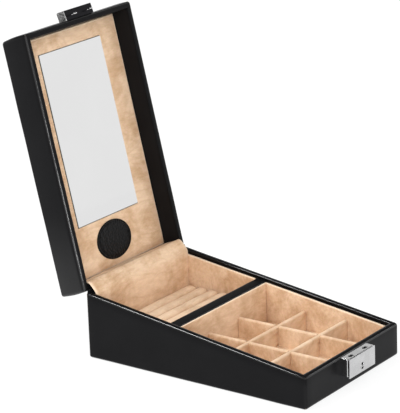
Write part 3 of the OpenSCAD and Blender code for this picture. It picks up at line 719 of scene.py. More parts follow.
for name in long_dividers + cross_dividers:
    low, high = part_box(name)
    way = long_way(low, high)
    crossed = cross_dividers if name in long_dividers else long_dividers
    crossings = [sum(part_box(n)[i][way] for i in (0, 1)) / 2 - low[way] for n in crossed]
    lap = (low.z + high.z) / 2
    notch = (high[1 - way] - low[1 - way]) / 2 + lap_gap
    stations = [(s, low.z, high.z) for s in steps_along(high[way] - low[way], divider_pitch)
                if all(abs(s - c) > notch + 0.4 * mm for c in crossings)]
    for c in crossings:
        for s in (c - notch, c + notch):
            full = (s, low.z, high.z)
            cut = (s, low.z, lap) if name in long_dividers else (s, lap, high.z)
            stations += [full, cut] if s < c else [cut, full]
    stations.sort(key=lambda station: station[0])
    suede_card(name, stations, divider_edge, divider_wave, divider_rub_and_highlight)


# Foams
# A low block of open foam lies in the bottom of the ring bay, hidden by the rolls. A thin
# one lies under the leather of the lid's top.
foam_dark = (0.5, 0.45, 0.36, 1)
foam_light = (0.82, 0.78, 0.68, 1)

foam = raw_stuff("foam", foam_dark, foam_light, 0.95, 0.6, 0.3 * mm, "TexVoronoi", Scale=1400)
finish_node("ring_pad_block", foam)
finish_node("lid_foam", foam)


# Ring rolls
# Six sticks of foam wrapped in suede lie side by side. Each has a round top and drawn-in
# ends, and a ring's band is held between two of them.
roll_steps = 40
roll_end_steps = 5
roll_straight_steps = roll_steps - 2 * roll_end_steps
roll_top_steps = 16
roll_end_folds = 7
roll_pucker = 0.05
roll_swell = 0.012
roll_uneven = 0.01
roll_wave = 0.16 * mm
roll_wave_length = 9 * mm
roll_squareness = 0.78
# Painted shade low down between the rolls, and a painted highlight on their tops
roll_painted_shade = 0.8
roll_painted_highlight = 0.35

for number in range(1, 7):
    low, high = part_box(f"ring_roll_{number}")
    middle_y = (low.y + high.y) / 2
    r = (high.y - low.y) / 2
    length = high.x - low.x
    top = high.z - r
    rings = []
    rubs = []
    for i in range(roll_steps + 1):
        x = low.x + length * (1 - math.cos(i / roll_steps * math.pi)) / 2
        if min(x - low.x, high.x - x) >= r:
            x = low.x + r + (length - 2 * r) * (i - roll_end_steps) / roll_straight_steps
        near_end = min(1, min(x - low.x, high.x - x) / r)
        full = max(0.06, math.sqrt(max(0, 1 - (1 - near_end) ** 2)))
        uneven = noise.noise(Vector((x * 60, number, 0)))
        swell = 1 + roll_swell * math.sin(x * 210 + number * 2.1) + roll_uneven * uneven
        half = r * full * min(1, swell)
        foot = low.z + (1 - full) * 1.5 * mm
        shoulder = top - (1 - full) * 0.6 * mm
        ring = [(x, middle_y - half, foot), (x, middle_y - half, (low.z + shoulder) / 2)]
        for step in range(roll_top_steps + 1):
            a = math.pi - step / roll_top_steps * math.pi
            folds = 0.5 + 0.5 * math.cos(a * 2 * roll_end_folds)
            pucker = 1 - roll_pucker * (1 - near_end) * folds
            sideways = math.copysign(abs(math.cos(a)) ** roll_squareness, math.cos(a))
            raised = math.sin(a) ** roll_squareness if step not in (0, roll_top_steps) else 0
            ring.append((x, middle_y + half * sideways * pucker,
                         shoulder + r * full * swell * raised * pucker))
        ring += [(x, middle_y + half, (low.z + shoulder) / 2), (x, middle_y + half, foot)]
        ring.reverse()
        rings.append(ring)
        heights = [max(0, (p[2] - top) / r) for p in ring]
        # Painted highlight near each top, painted shade low in the valleys between rolls
        rubs.append([roll_painted_highlight * h ** 3 - roll_painted_shade * max(0, 1 - h * 1.6) for h in heights])
    roll = loft(f"suede_roll_{number}", rings, True, True, rubs)
    soften(roll, roll_wave, roll_wave_length)
    fitted(roll, suede, "base", "suede_tan", f"ring_roll_{number}")


# Hinge lining
# One strip of suede, glued up the back of the ring bay and along the lid's back wall. It is
# free between the rims, where it stops the open lid, and its cut ends show pale.
hinge = next(j for j in frame["joints"] if j["name"] == "lid_hinge")
hinge_point = Vector(hinge["pos_m"])
lid_turn = math.radians(hinge["range_deg"][1])
seam_gap = 1.4 * mm
panel_above = 14.7 * mm
lining_thickness = 1.15 * mm
lining_low, lining_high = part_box("hinge_lining_base")
free_half_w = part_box("hinge_lining_fold")[1].x
bay_back_y = lining_low.y + lining_thickness / 2
lid_wall_y = half_d - wall - lining_thickness / 2 - 0.15 * mm
# Where it turns between the rims: a depth, and the height above the rim there
base_turn = (85.3 * mm, 0.9 * mm)
lid_side_turn = (84.6 * mm, -0.6 * mm)
lining_rounds = [4 * mm, 4.5 * mm, 3.4 * mm, 1.6 * mm]
lining_step = 1.2 * mm
round_steps = 8
across_steps = 44
pucker_depth = 0.45 * mm
lining_edge_rub = 0.6
# It comes free of the bay over this height, and is glued in the lid from its foot to its stop
freeing = 4 * mm
glued_foot = 3 * mm
glued_stop = 0.5 * mm


def about_hinge(angle):
    """A turn of the lid about its hinge."""
    return (Matrix.Translation(hinge_point) @ Matrix.Rotation(-angle, 4, "X")
            @ Matrix.Translation(-hinge_point))


def lid_z(y, above):
    """Height of the shut lid at a depth y, a distance above its rim, straight up."""
    return rim(y) + seam_gap + above


def opened(y, above):
    """Where a point of the shut lid lies on the open one, as depth and height."""
    p = open_lid @ Vector((0, y, lid_z(y, above)))
    return p.y, p.z


def smooth_route(corners, rounds, step):
    """A route through corners, each cut by a curve of its own reach, at even steps."""
    bends = [Vector((0, *c)) for c in corners]
    route = [bends[0]]
    for before, at, after, reach in zip(bends, bends[1:], bends[2:], rounds):
        a = at + (before - at).normalized() * min(reach, (before - at).length * 0.48)
        b = at + (after - at).normalized() * min(reach, (after - at).length * 0.48)
        for i in range(round_steps + 1):
            t = i / round_steps
            route.append(a * (1 - t) ** 2 + at * 2 * t * (1 - t) + b * t * t)
    route.append(bends[-1])
    dense = [route[0]]
    for p in route[1:]:
        gap = (p - dense[-1]).length
        if gap < 0.05 * mm:
            continue
        start = dense[-1].copy()
        parts = max(1, math.ceil(gap / step))
        dense += [start.lerp(p, i / parts) for i in range(1, parts + 1)]
    return dense


def thick_sheet(name, grid, thickness, edge_rub):
    """A closed sheet about a grid of middle points, with round edges that are given edge_rub."""
    rows = len(grid)
    columns = len(grid[0])

    def offset(r, c):
        along = grid[min(r + 1, rows - 1)][c] - grid[max(r - 1, 0)][c]
        sideways = grid[r][min(c + 1, columns - 1)] - grid[r][max(c - 1, 0)]
        return sideways.cross(along).normalized() * thickness / 2

    loops = []
    for r, row in enumerate(grid):
        out = (row[0] - row[1]).normalized() * thickness / 2
        loop = [p - offset(r, c) for c, p in enumerate(row)] + [row[-1] - out]
        loop += [row[c] + offset(r, c) for c in range(columns - 1, -1, -1)] + [row[0] + out]
        loops.append(loop)
    ends = []
    for first, flip in ((0, 1), ((rows - 1) * (2 * columns + 2), -1)):
        strip = [(first + c, first + c + 1, first + 2 * columns - 1 - c, first + 2 * columns - c)
                 for c in range(columns - 1)]
        strip.append((first + columns - 1, first + columns, first + columns + 1))
        strip.append((first, first + 2 * columns, first + 2 * columns + 1))
        ends += [face[::flip] for face in strip]
    near = [edge_rub if c in (0, columns - 1) else 0 for c in range(columns)]
    rub = near + [edge_rub] + near[::-1] + [edge_rub]
    return loft(name, loops, False, False, [rub] * rows, ends, 60)


# All pieces of the lid are laid out for the shut lid, and turned about the hinge
open_lid = about_hinge(lid_turn)
shut_lid = open_lid.inverted()
lining_corners = [(bay_back_y, lining_low.z), (bay_back_y, lining_high.z),
                  (base_turn[0], rim(base_turn[0]) + base_turn[1]), opened(*lid_side_turn),
                  opened(lid_wall_y, glued_foot), opened(lid_wall_y, panel_above - glued_stop)]
lining_route = smooth_route(lining_corners, lining_rounds, lining_step)
lining_grid = []
for p in lining_route:
    freed = min(1, max(0, (p.z - lining_high.z + freeing / 2) / freeing))
    half = lining_high.x + (free_half_w - lining_high.x) * freed
    row = []
    for c in range(across_steps + 1):
        x = -half + 2 * half * c / across_steps
        wave = noise.noise(Vector((x * 16, p.y * 60, p.z * 120 + x * 14)))
        pucker = wave * pucker_depth * math.sin(math.pi * freed / 2)
        row.append(Vector((x, p.y + pucker * 0.6, p.z + pucker)))
    lining_grid.append(row)
hinge_lining = thick_sheet("hinge_lining", lining_grid, lining_thickness, lining_edge_rub)
hinge_lining.data.materials.append(suede)
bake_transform(hinge_lining)
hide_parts("hinge_lining_base", "hinge_lining_fold", "hinge_lining_lid")


# Outer hinge
# The cover's leather runs on from the base's back to the lid's back. It is glued to both and
# folds at the seam between them.
spine_half_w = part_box("hinge_spine")[1].x
spine_thickness = 0.5 * mm
spine_reach = 2.6 * mm
spine_tuck = 0.9 * mm
spine_y = half_d - spine_thickness / 2 - 0.6 * mm
spine_rows = 16
spine_columns = 30
spine_bend_from = 0.28
spine_bend_share = 0.44

spine_grid = []
for i in range(spine_rows + 1):
    share_up = i / spine_rows
    bend = min(1, max(0, (share_up - spine_bend_from) / spine_bend_share))
    turn = about_hinge(lid_turn * bend * bend * (3 - 2 * bend))
    y = spine_y + spine_tuck * (2 * share_up - 1) ** 2 * 0.5
    z = back_rim + seam_gap / 2 + (share_up - 0.5) * 2 * spine_reach
    spine_grid.append([turn @ Vector((spine_half_w - 2 * spine_half_w * c / spine_columns, y, z))
                       for c in range(spine_columns + 1)])
outer_hinge = thick_sheet("outer_hinge", spine_grid, spine_thickness, 0)
outer_hinge.data.materials.append(black_leather)
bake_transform(outer_hinge)
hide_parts("hinge_spine")


# Lid cover
# The same leather over the lid: in past the rim, down its deep inner walls to the lining,
# out over the sides, and across a thin foam that gives the top a low crown.
lid_height = 23.5 * mm
top_crown = 1.2 * mm
crown_reach = 11 * mm
crown_drop = 0.02 * mm
# Rings of the top, inset from the lid's side, in mm
crown_insets = (2, 3, 4.5, 7, 10, 14, 19, 25, 32, 40, 49, 57.7)
wall_swell = 0.6 * mm
under_panel = 0.6 * mm
# Painted shade: the lid's rim top and the top of its inner walls are darker in colour
lid_painted_shade = top_painted_shade * 0.5
top_edge_shine = 0.7
# Hands polish the sides towards the hinge, where the open lid is held
lid_handling = 0.8

lid_section = [(wall - under_panel, 1, panel_above + under_panel, 0),
               (wall, 1, panel_above + under_panel, 0)]
lid_section += [(wall, 1, panel_above * (5 - i) / 6, 0) for i in range(5)]
lid_section += [(wall, 1, inner_edge_r + 0.4 * mm, lid_painted_shade)]
lid_section += [(wall - inner_edge_r + a, 1, inner_edge_r - h, lid_painted_shade)
                for a, h in arc(0, 0, inner_edge_r, 0, 90, 6)]
lid_section += [(wall / 2, 1, -rim_dome / 2, lid_painted_shade), (edge_r + 0.4 * mm, 1, 0, lid_painted_shade)]
lid_section += [(edge_r - a, 1, edge_r + h, rub + side_painted_shade * (1 - rub))
                for a, h, rub in folded(0, 0, edge_r, -90, 0, 8)]
for i in range(1, wall_steps):
    share_up = i / wall_steps
    lid_section.append((-wall_swell * math.sin(math.pi * share_up), 1,
                        edge_r + (lid_height - 2 * edge_r) * share_up, 0))
lid_section += [(edge_r - a, 1, lid_height - edge_r + h, rub * top_edge_shine)
                for a, h, rub in folded(0, 0, edge_r, 0, 80, 6)]
for inset in crown_insets:
    rise = top_crown * (1 - math.exp(-(inset * mm - edge_r) / crown_reach))
    lid_section.append((inset * mm, 1, lid_height - crown_drop + rise, 0))
lid_cover = wrapped("lid_cover", lid_section, lambda y, share_up: lid_z(y, 0), True, lid_handling)
soften(lid_cover, softness * 1.2, 30 * mm)
lid_cover.data.transform(open_lid)
fitted(lid_cover, black_leather, "lid", "leather_black", "lid_leather")


# Lid lining panel
# A suede-covered board fills the lid behind the rim. It has an opening for the mirror, and
# its nap is paler along the outer edges and round the opening: partly stretched nap, partly a painted
# highlight.
slope = math.atan2(back_rim - front_rim, 2 * half_d)
panel_face = panel_above
panel_back = 17.7 * mm
panel_fold = 0.9 * mm
panel_corner = 0.6 * mm
panel_border = 0.5 * mm
panel_overlap = 0.5 * mm
panel_inset = wall + 0.25 * mm
tuck_reach = 4.0 * mm
tuck_depth = 0.9 * mm
panel_half_w = half_w - panel_inset
panel_back_y = lid_wall_y - lining_thickness / 2 + panel_overlap
panel_front_y = panel_inset - half_d
panel_half_l = (panel_back_y - panel_front_y) / 2
panel_y = (panel_back_y + panel_front_y) / 2
# Rings of the face between its outer edge and the mirror's opening
panel_shares = (0, 0.015, 0.03, 0.05, 0.08, 0.14, 0.25, 0.4, 0.55, 0.7, 0.82, 0.92, 0.97, 1)
# Paler nap on the outer fold and round the opening: partly stretched, partly a painted highlight
outer_rub_and_highlight = 0.75
window_rub_and_highlight = 0.25
window_gap = 0.25 * mm
window_r = 0.5 * mm
window_corner = 0.2 * mm
face_corner = 0.3 * mm
panel_wave = 0.1 * mm
panel_wave_length = 18 * mm


def shut_box(node_name):
    """The lowest and highest corners of a solid of the lid, with the lid shut."""
    points = [shut_lid @ v.co for v in frame["nodes"][node_name].data.vertices]
    return [Vector(pick(p[i] for p in points) for i in range(3)) for pick in (min, max)]


def lid_ring(hx, hy, radius, centre_y, above):
    """A rectangle with round corners in a plane parallel to the shut lid's rim."""
    return [(p.x, p.y + centre_y, lid_z(p.y + centre_y, above)) for p in perimeter(hx, hy, radius)]


mirror_low, mirror_high = shut_box("lid_mirror")
mirror_half_w = mirror_high.x
mirror_y = (mirror_low.y + mirror_high.y) / 2
mirror_half_l = (mirror_high.y - mirror_low.y) / 2 - 1.0 * mm * math.sin(slope)
window_w = mirror_half_w + window_gap
window_l = mirror_half_l + window_gap
panel_rings = [lid_ring(panel_half_w, panel_half_l, panel_corner, panel_y, above)
               for above in (panel_back, panel_face + panel_fold + panel_border)]
panel_rubs = [0, 0.3]
for a, h in arc(-panel_fold, -panel_fold, panel_fold, 0, 90, 5):
    panel_rings.append(lid_ring(panel_half_w + a, panel_half_l + a, panel_corner, panel_y,
                                panel_face - h))
    panel_rubs.append(outer_rub_and_highlight)
outer_ring = lid_ring(panel_half_w - panel_fold - panel_border, panel_half_l - panel_fold - panel_border,
                      face_corner, panel_y, panel_face)
window_ring = lid_ring(window_w + window_r, window_l + window_r, face_corner, mirror_y, panel_face)
for t in panel_shares:
    panel_rings.append([Vector(a).lerp(Vector(b), t) for a, b in zip(outer_ring, window_ring)])
    panel_rubs.append(0)
for a, h in arc(0, 0, window_r, 90, 0, 3)[1:]:
    panel_rings.append(lid_ring(window_w + window_r - a, window_l + window_r - a, window_corner,
                                mirror_y, panel_face + window_r - h))
    panel_rubs.append(window_rub_and_highlight)
panel_rings.append(lid_ring(window_w, window_l, window_corner, mirror_y, panel_back))
panel_rubs.append(0)
lid_lining = loft("lid_lining", panel_rings, False, False, panel_rubs)
for v in lid_lining.data.vertices:
    near_hinge = max(0, 1 - (panel_back_y - v.co.y) / tuck_reach)
    v.co.z += tuck_depth * near_hinge ** 1.6
soften(lid_lining, panel_wave, panel_wave_length)
lid_lining.data.transform(open_lid)
fitted(lid_lining, suede, "lid", "suede_tan", "lid_lining_panel")


# Mirror
# Plain float glass, silvered behind, with its edges ground off. It sits in the lining's
# opening and stands a hair proud of the suede.
mirror_face = panel_face - 0.3 * mm
mirror_thickness = 2 * mm
mirror_corner = 0.3 * mm
bevel = 0.2 * mm
inner_ring = 12 * mm
flatness = 0.05 * mm
ground_edge = (0.09, 0.1, 0.095, 1)

mirror_profile = [(0, mirror_thickness), (0, bevel), (bevel, 0), (2 * bevel, 0), (inner_ring, 0)]
mirror_rings = [lid_ring(mirror_half_w - inset, mirror_half_l - inset, mirror_corner, mirror_y,
                         mirror_face + back) for inset, back in mirror_profile]
mirror = loft("mirror_glass", mirror_rings, True, True)
mirror.data.set_sharp_from_angle(angle=math.radians(15))
on_face = []
for face in mirror.data.polygons:
    depths = [v.co.z - lid_z(v.co.y, 0) for v in (mirror.data.vertices[i] for i in face.vertices)]
    on_face.append(max(depths) - min(depths) <= flatness)
mirror.data.transform(open_lid)

silver, tree, glass = new_material("silvered_glass", Metallic=1)
haze = node(tree, "TexNoise", Scale=24, Detail=3)
haze_range = node(tree, "MapRange", To_Min=0.015, To_Max=0.05)
tint = colour_mix(tree, (0.755, 0.755, 0.755, 1), (0.79, 0.79, 0.79, 1))
wire(tree, (node(tree, "TexCoord"), "Object", haze, "Vector"), (haze, "Fac", haze_range, "Value"),
     (haze_range, 0, glass, "Roughness"), (haze, "Fac", tint, "Factor"),
     (tint, "Result", glass, "Base Color"))
ground, tree, frosted = new_material("ground_glass_edge", Base_Color=ground_edge, Roughness=0.6)
grit = node(tree, "TexNoise", Scale=3000, Detail=2)
grit_bump = node(tree, "Bump", Strength=0.4, Distance=0.02 * mm)
wire(tree, (grit, "Fac", grit_bump, "Height"), (grit_bump, 0, frosted, "Normal"))
fitted(mirror, silver, "lid", "mirror", "lid_mirror")
mirror.data.materials.append(ground)
for face, flat in zip(mirror.data.polygons, on_face):
    face.material_index = 0 if flat else 1


# Patch
# An oval of pebbled black leather with a pressed border line, glued to the lining below
# the mirror. It is otherwise bare.
patch_low, patch_high = shut_box("lid_patch")
patch_y = (patch_low.y + patch_high.y) / 2
patch_half_l = (patch_high.y - patch_low.y) / 2
patch_sides = 72
# Inset and height of each ring in mm: the edge, the pressed line and the low crown
patch_profile = [(0, -0.3), (0, 0.35), (0.15, 0.6), (0.5, 0.8), (1.3, 0.85), (1.5, 0.65),
                 (1.8, 0.65), (2.0, 0.88), (4, 0.94), (7, 1.0), (10, 1.04), (13.6, 1.06)]
patch_colour = (0.0058, 0.0057, 0.0059, 1)

patch_rings = []
for inset, above in patch_profile:
    ring = []
    for i in range(patch_sides):
        a = 2 * math.pi * i / patch_sides
        x = (patch_high.x - inset * mm) * math.cos(a)
        y = patch_y + (patch_half_l - inset * mm) * math.sin(a)
        ring.append((x, y, lid_z(y, panel_face - above * mm)))
    patch_rings.append(ring)
patch = loft("lid_patch_leather", patch_rings, False, True)
patch.data.transform(open_lid)
pebbled = leather("pebbled_leather", patch_colour, 0.3, 1.9, 1.6 * mm, 0.1)
fitted(patch, pebbled, "lid", "leather_black", "lid_patch")


# Lock
# A folded and plated steel lock on the front: a closed case with two oval slots in its
# shelf, and in front of it a sliding cover with the keyhole, which is pressed down to open.
cover_low, cover_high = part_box("lock_cover")
case_low, case_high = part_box("lock_case")
key_low, key_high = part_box("lock_key_barrel")
key_z = (key_low.z + key_high.z) / 2
key_hole_r = 2.38 * mm
plate_thickness = 0.8 * mm
plate_corner = 0.5 * mm
plate_ease = 0.18 * mm
plate_middle_z = (cover_low.z + cover_high.z) / 2
plate_half_h = (cover_high.z - cover_low.z) / 2
stud_x = 12.3 * mm
stud_z = 16.15 * mm
stud_r = 0.9 * mm
shelf_thickness = 1 * mm
shelf_corner = 0.6 * mm
shelf_ease = 0.16 * mm
shelf_z = case_high.z - shelf_thickness
shelf_y = (case_high.y + case_low.y) / 2
shelf_half_d = (case_high.y - case_low.y) / 2
slot_half_w = 2.3 * mm
slot_half_d = 1.25 * mm
slot_x = 8.6 * mm
slot_y = -94.0 * mm
case_half_w = 14.6 * mm
case_front_y = -95.6 * mm
case_back_y = case_high.y
case_bottom = 9.5 * mm
case_sheet = 0.6 * mm
case_ease = 0.03 * mm
case_bend = 1.0 * mm
case_depth = case_back_y - case_front_y - case_sheet
case_middle_z = (case_bottom + shelf_z) / 2
case_half_h = (shelf_z - case_bottom) / 2
stud_slot_r = 1.06 * mm
stud_slot_reach = 1.25 * mm
key_window_w = 3.5 * mm
key_window_h = 3.3 * mm
key_window_up = 0.15 * mm
key_window_corner = 0.4 * mm


def plated(name, grey, rough, smear, smear_count=160, dull_share=0.9):
    """Plated metal with fine polishing lines, and smears that are faint or worn through."""
    made, tree, metal = new_material(name, Metallic=1)
    where = node(tree, "TexCoord")
    lines = node(tree, "TexNoise", Scale=900, Detail=3)
    drawn = node(tree, "VectorMath", "MULTIPLY", n1=(0.06, 1, 1))
    smears = node(tree, "TexNoise", Scale=smear_count, Detail=4)
    worn_through = node(tree, "MapRange", From_Min=0.4, From_Max=0.6)
    dull = node(tree, "MapRange", To_Min=rough - smear, To_Max=rough + smear)
    tone = colour_mix(tree, toned(grey, dull_share), (*grey, 1))
    bump = node(tree, "Bump", Strength=0.06, Distance=0.02 * mm)
    wire(tree, (where, "Object", drawn, 0), (drawn, 0, lines, "Vector"),
         (where, "Object", smears, "Vector"), (smears, "Fac", dull, "Value"),
         (dull, 0, metal, "Roughness"), (smears, "Fac", worn_through, "Value"),
         (worn_through, 0, tone, "Factor"), (tone, "Result", metal, "Base Color"),
         (lines, "Fac", bump, "Height"), (bump, 0, metal, "Normal"))
    return made


def circle(radius, count, x=0, y=0):
    """Points round a circle."""
    return [(x + radius * math.cos(a), y + radius * math.sin(a))
            for a in [2 * math.pi * i / count for i in range(count)]]


def rounded_rectangle(half_x, half_y, radius, steps=6, centre=(0, 0)):
    """An outline with round corners."""
    points = []
    for quarter, (sx, sy) in enumerate([(1, 1), (-1, 1), (-1, -1), (1, -1)]):
        for i in range(steps + 1):
            a = math.pi / 2 * (quarter + i / steps)
            points.append((centre[0] + sx * (half_x - radius) + radius * math.cos(a),
                           centre[1] + sy * (half_y - radius) + radius * math.sin(a)))
    return points


def pressed_plate(name, outlines, thickness, ease, placement, material):
    """A plate of sheet metal with eased edges: an outline, and then the holes in it."""
    curve = bpy.data.curves.new(name, "CURVE")
    curve.dimensions = "2D"
    curve.fill_mode = "BOTH"
    curve.extrude = thickness / 2 - ease
    curve.bevel_depth = ease
    curve.bevel_resolution = 2
    curve.offset = -ease
    for outline in outlines:
        spline = curve.splines.new("POLY")
        spline.points.add(len(outline) - 1)
        for point, (x, y) in zip(spline.points, outline):
            point.co = (x, y, 0, 1)
        spline.use_cyclic_u = True
    holder = bpy.data.objects.new(name + "_curve", curve)
    bpy.context.scene.collection.objects.link(holder)
    bpy.context.view_layer.update()
    solid = holder.evaluated_get(bpy.context.evaluated_depsgraph_get())
    mesh = bpy.data.meshes.new_from_object(solid)
    bpy.data.objects.remove(holder)
    mesh.name = name
    mesh.transform(placement)
    mesh.materials.clear()
    mesh.materials.append(material)
    mesh.shade_smooth()
    mesh.set_sharp_from_angle(angle=math.radians(30))
    plate = bpy.data.objects.new(name, mesh)
    bpy.context.scene.collection.objects.link(plate)
    return plate


def joined(name, parts):
    """Several meshes that are one pressed or cast piece, as one object."""
    bpy.ops.object.select_all(action="DESELECT")
    for part in parts:
        part.select_set(True)
    bpy.context.view_layer.objects.active = parts[0]
    bpy.ops.object.join()
    parts[0].name = name
    parts[0].data.name = name
    return parts[0]


def facing_front(y, z):
    """Places a plate drawn in x and y upright, with its face towards the front, at a depth y."""
    return Matrix.Translation((0, y, z)) @ Matrix.Rotation(math.radians(90), 4, "X")


nickel = plated("nickel_plate", (0.56, 0.56, 0.565), 0.24, 0.07)
bright_nickel = plated("bright_nickel", (0.8, 0.8, 0.8), 0.16, 0.05)
polished_side = plated("polished_side", (0.6, 0.6, 0.6), 0.09, 0.03)
inner_steel = plated("inner_steel", (0.3, 0.3, 0.3), 0.4, 0.1)
for name in ("lock_catch", "lock_spring", "lock_rivets"):
    finish_node(name, inner_steel)

cover_parts = [pressed_plate(
    "lock_cover_plate", [rounded_rectangle(cover_high.x, plate_half_h, plate_corner),
                         circle(key_hole_r, 32, 0, key_z - plate_middle_z)],
    plate_thickness, plate_ease, facing_front(cover_low.y + plate_thickness / 2, plate_middle_z),
    nickel)]
for side in (-1, 1):
    rings = [[(x, y, z) for x, z in circle(stud_r, 20, side * stud_x, stud_z)]
             for y in (cover_low.y + plate_thickness - 0.1 * mm, cover_high.y)]
    stud = loft(f"stud_{side}", rings, True, True)
    stud.data.materials.append(nickel)
    cover_parts.append(stud)
fitted(joined("lock_cover_plate", cover_parts), None, "lock_cover", "nickel", "lock_cover")

hook_slots = [rounded_rectangle(slot_half_w, slot_half_d, slot_half_d * 0.98, 8,
                                (side * slot_x, slot_y - shelf_y)) for side in (-1, 1)]
shelf = pressed_plate(
    "lock_shelf", [rounded_rectangle(case_high.x, shelf_half_d, shelf_corner)] + hook_slots,
    shelf_thickness, shelf_ease, Matrix.Translation((0, shelf_y, shelf_z + shelf_thickness / 2)),
    bright_nickel)
stud_slots = [rounded_rectangle(stud_slot_r, stud_slot_r + stud_slot_reach, 1.05 * mm, 6,
                                (side * stud_x, stud_z - stud_slot_reach - plate_middle_z))
              for side in (-1, 1)]
case_outline = rounded_rectangle(case_half_w - case_bend, case_half_h, 0.1 * mm, 6,
                                 (0, case_middle_z - plate_middle_z))
key_window = rounded_rectangle(key_window_w, key_window_h, key_window_corner, 4,
                               (0, key_z - plate_middle_z + key_window_up))
case_face = pressed_plate("lock_case_face", [case_outline, key_window] + stud_slots, case_sheet,
                          case_ease, facing_front(case_front_y + case_sheet / 2, plate_middle_z), nickel)
case_parts = [shelf, case_face]
bend_x = case_half_w - case_bend
bend_y = case_front_y + case_bend
for side in (-1, 1):
    outline = [(case_half_w, case_back_y), (case_half_w, bend_y + 1.5 * mm)]
    outline += [(bend_x + a, bend_y - h) for a, h in arc(0, 0, case_bend, 0, 90, 8)]
    outline += [(bend_x, case_front_y + case_sheet)]
    outline += [(bend_x + a, bend_y - h)
                for a, h in arc(0, 0, case_bend - case_sheet, 90, 0, 4)[1:]]
    outline += [(case_half_w - case_sheet, case_back_y)]
    rings = [[(side * x, y, z) for x, y in outline[::-side]] for z in (case_bottom, shelf_z)]
    bent_side = loft(f"lock_case_side_{side}", rings, True, True)
    bent_side.data.materials.append(polished_side)
    case_parts.append(bent_side)
case_parts.append(pressed_plate(
    "lock_case_bottom", [rounded_rectangle(case_half_w - case_bend, case_sheet / 2, 0.08 * mm, 2,
                                           (0, -case_half_h + case_sheet / 2))],
    case_depth, 0.05 * mm, facing_front(case_back_y - case_depth / 2, case_middle_z), nickel))
fitted(joined("lock_case_shell", case_parts), None, "base", "nickel", "lock_case")


# Key barrel
# A small turned barrel in the cover, with a flange behind it that holds it in. Two blind pin
# holes in its face are joined by a curved groove.
barrel_r = 2.3 * mm
face_thickness = 0.7 * mm
back_thickness = 0.3 * mm
flange_r = 3 * mm
flange_thickness = 0.5 * mm
barrel_ease = 0.08 * mm
pin_r = 1.05 * mm
pin_up = 1.2 * mm
bow_angle = 52
bow_across = 1.125 * mm
bow_shift = 0.25 * mm
bow_up = 0.98 * mm
bow_half_w = 0.19 * mm
bow_steps = 12

black_chrome = plated("black_chrome", (0.016, 0.016, 0.018), 0.12, 0.04)
bow = []
for i in range(bow_steps + 1):
    a = math.radians(-bow_angle + 2 * bow_angle * i / bow_steps)
    bow.append((bow_shift - bow_across * math.cos(a), bow_up * math.sin(a)))
bow_outline = [(x - bow_half_w, y) for x, y in bow]
bow_outline += [(x + bow_half_w, y) for x, y in reversed(bow)]
barrel_outline = circle(barrel_r, 40)
pins = [circle(pin_r, 16, 0, side * pin_up) for side in (-1, 1)]
barrel_parts = [
    pressed_plate("key_face", [barrel_outline] + pins + [bow_outline], face_thickness, barrel_ease,
                  facing_front(key_low.y + face_thickness / 2, key_z), nickel),
    # The black chrome disc behind the face makes the floors of the pin holes and groove dark: painted
    # shade
    pressed_plate("key_back", [barrel_outline], back_thickness, 0.02 * mm,
                  facing_front(key_low.y + face_thickness + back_thickness / 2, key_z),
                  black_chrome),
    pressed_plate("key_flange", [circle(flange_r, 40)], flange_thickness, barrel_ease,
                  facing_front(key_high.y - flange_thickness / 2, key_z), nickel)]
fitted(joined("key_barrel_turned", barrel_parts), None, "key_barrel", "nickel", "lock_key_barrel")


# Hasp
# A folded block in black chrome on the lid's front edge, with bright cut edges at its ends.
# Two notched hooks under it drop through the lock's slots when the lid is closed.
hasp_low, hasp_high = shut_box("hasp_block")
hook_low, hook_high = shut_box("hasp_hooks")
hasp_fold = 0.9 * mm
hasp_ease = 0.3 * mm
hasp_inset = 0.1 * mm
# How near its end a face of the block is worn through, or is the bright cut edge
worn_end = 0.01 * mm
cut_edge = 0.15 * mm
# Distance from an end and how much the block shrinks there, in mm
hasp_ends = [(0, 0.35), (0.1, 0.12), (0.35, 0), (0.8, 0)]
hook_y = (hook_low.y + hook_high.y) / 2
hook_half_w = 1.6 * mm
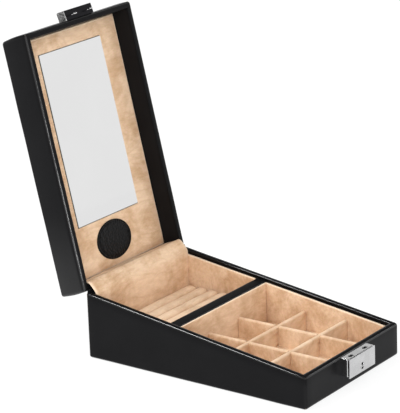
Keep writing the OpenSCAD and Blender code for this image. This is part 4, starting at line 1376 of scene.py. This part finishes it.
# A hook's height from its tip, and its half depth in front and behind, in mm
hook_profile = [(0.0, 0.1, 0.1), (0.25, 0.35, 0.35), (0.55, 0.5, 0.5), (1.35, 0.5, 0.5),
                (1.5, 0.5, 0.08), (2.2, 0.5, 0.08), (2.4, 0.5, 0.42), (4.4, 0.5, 0.5)]

finish_node("hasp_rivets", inner_steel)
worn_chrome = plated("worn_chrome", (0.3, 0.3, 0.3), 0.3, 0.12, 800, 0.12)
hasp_outline = [(-half_d, hasp_low.z + hasp_inset), (-half_d, hasp_high.z - hasp_inset)]
hasp_outline += arc(hasp_low.y + hasp_fold, hasp_high.z - hasp_fold, hasp_fold, 90, 180, 6)
hasp_outline += arc(hasp_low.y + hasp_ease, hasp_low.z + hasp_ease, hasp_ease, 180, 270, 4)
hasp_centre = Vector(sum(p[i] for p in hasp_outline) / len(hasp_outline) for i in (0, 1))
hasp_rings = []
for x, shrink in ([(hasp_low.x + d * mm, s * mm) for d, s in hasp_ends] + [(0, 0)]
                  + [(hasp_high.x - d * mm, s * mm) for d, s in reversed(hasp_ends)]):
    ring = []
    for y, z in hasp_outline:
        inward = (hasp_centre - Vector((y, z))).normalized() * shrink
        ring.append((x, y + (inward.x if y < -half_d else 0), z + inward.y))
    hasp_rings.append(ring)
hasp = loft("hasp_cover", hasp_rings, True, True)
hasp.data.transform(open_lid)
fitted(hasp, black_chrome, "lid", "black_chrome", "hasp_block")
hasp.data.materials.append(worn_chrome)
hasp.data.materials.append(bright_nickel)
for face in hasp.data.polygons:
    across = [abs(hasp.data.vertices[v].co.x) for v in face.vertices]
    if min(across) > hasp_high.x - worn_end:
        face.material_index = 1
    elif max(across) > hasp_high.x - cut_edge:
        face.material_index = 2

hooks = []
for side in (-1, 1):
    rings = []
    for rise, front, back in hook_profile:
        z = hook_low.z + rise * mm
        rings.append([(side * slot_x + x * hook_half_w, hook_y + (back if y > 0 else -front) * mm, z)
                      for x, y in ((-1, -1), (1, -1), (1, 1), (-1, 1))])
    hook = loft(f"hook_{side}", rings, True, True)
    hook.data.transform(open_lid)
    hook.data.materials.append(bright_nickel)
    hooks.append(hook)
fitted(joined("hasp_hook_pair", hooks), None, "lid", "nickel", "hasp_hooks")
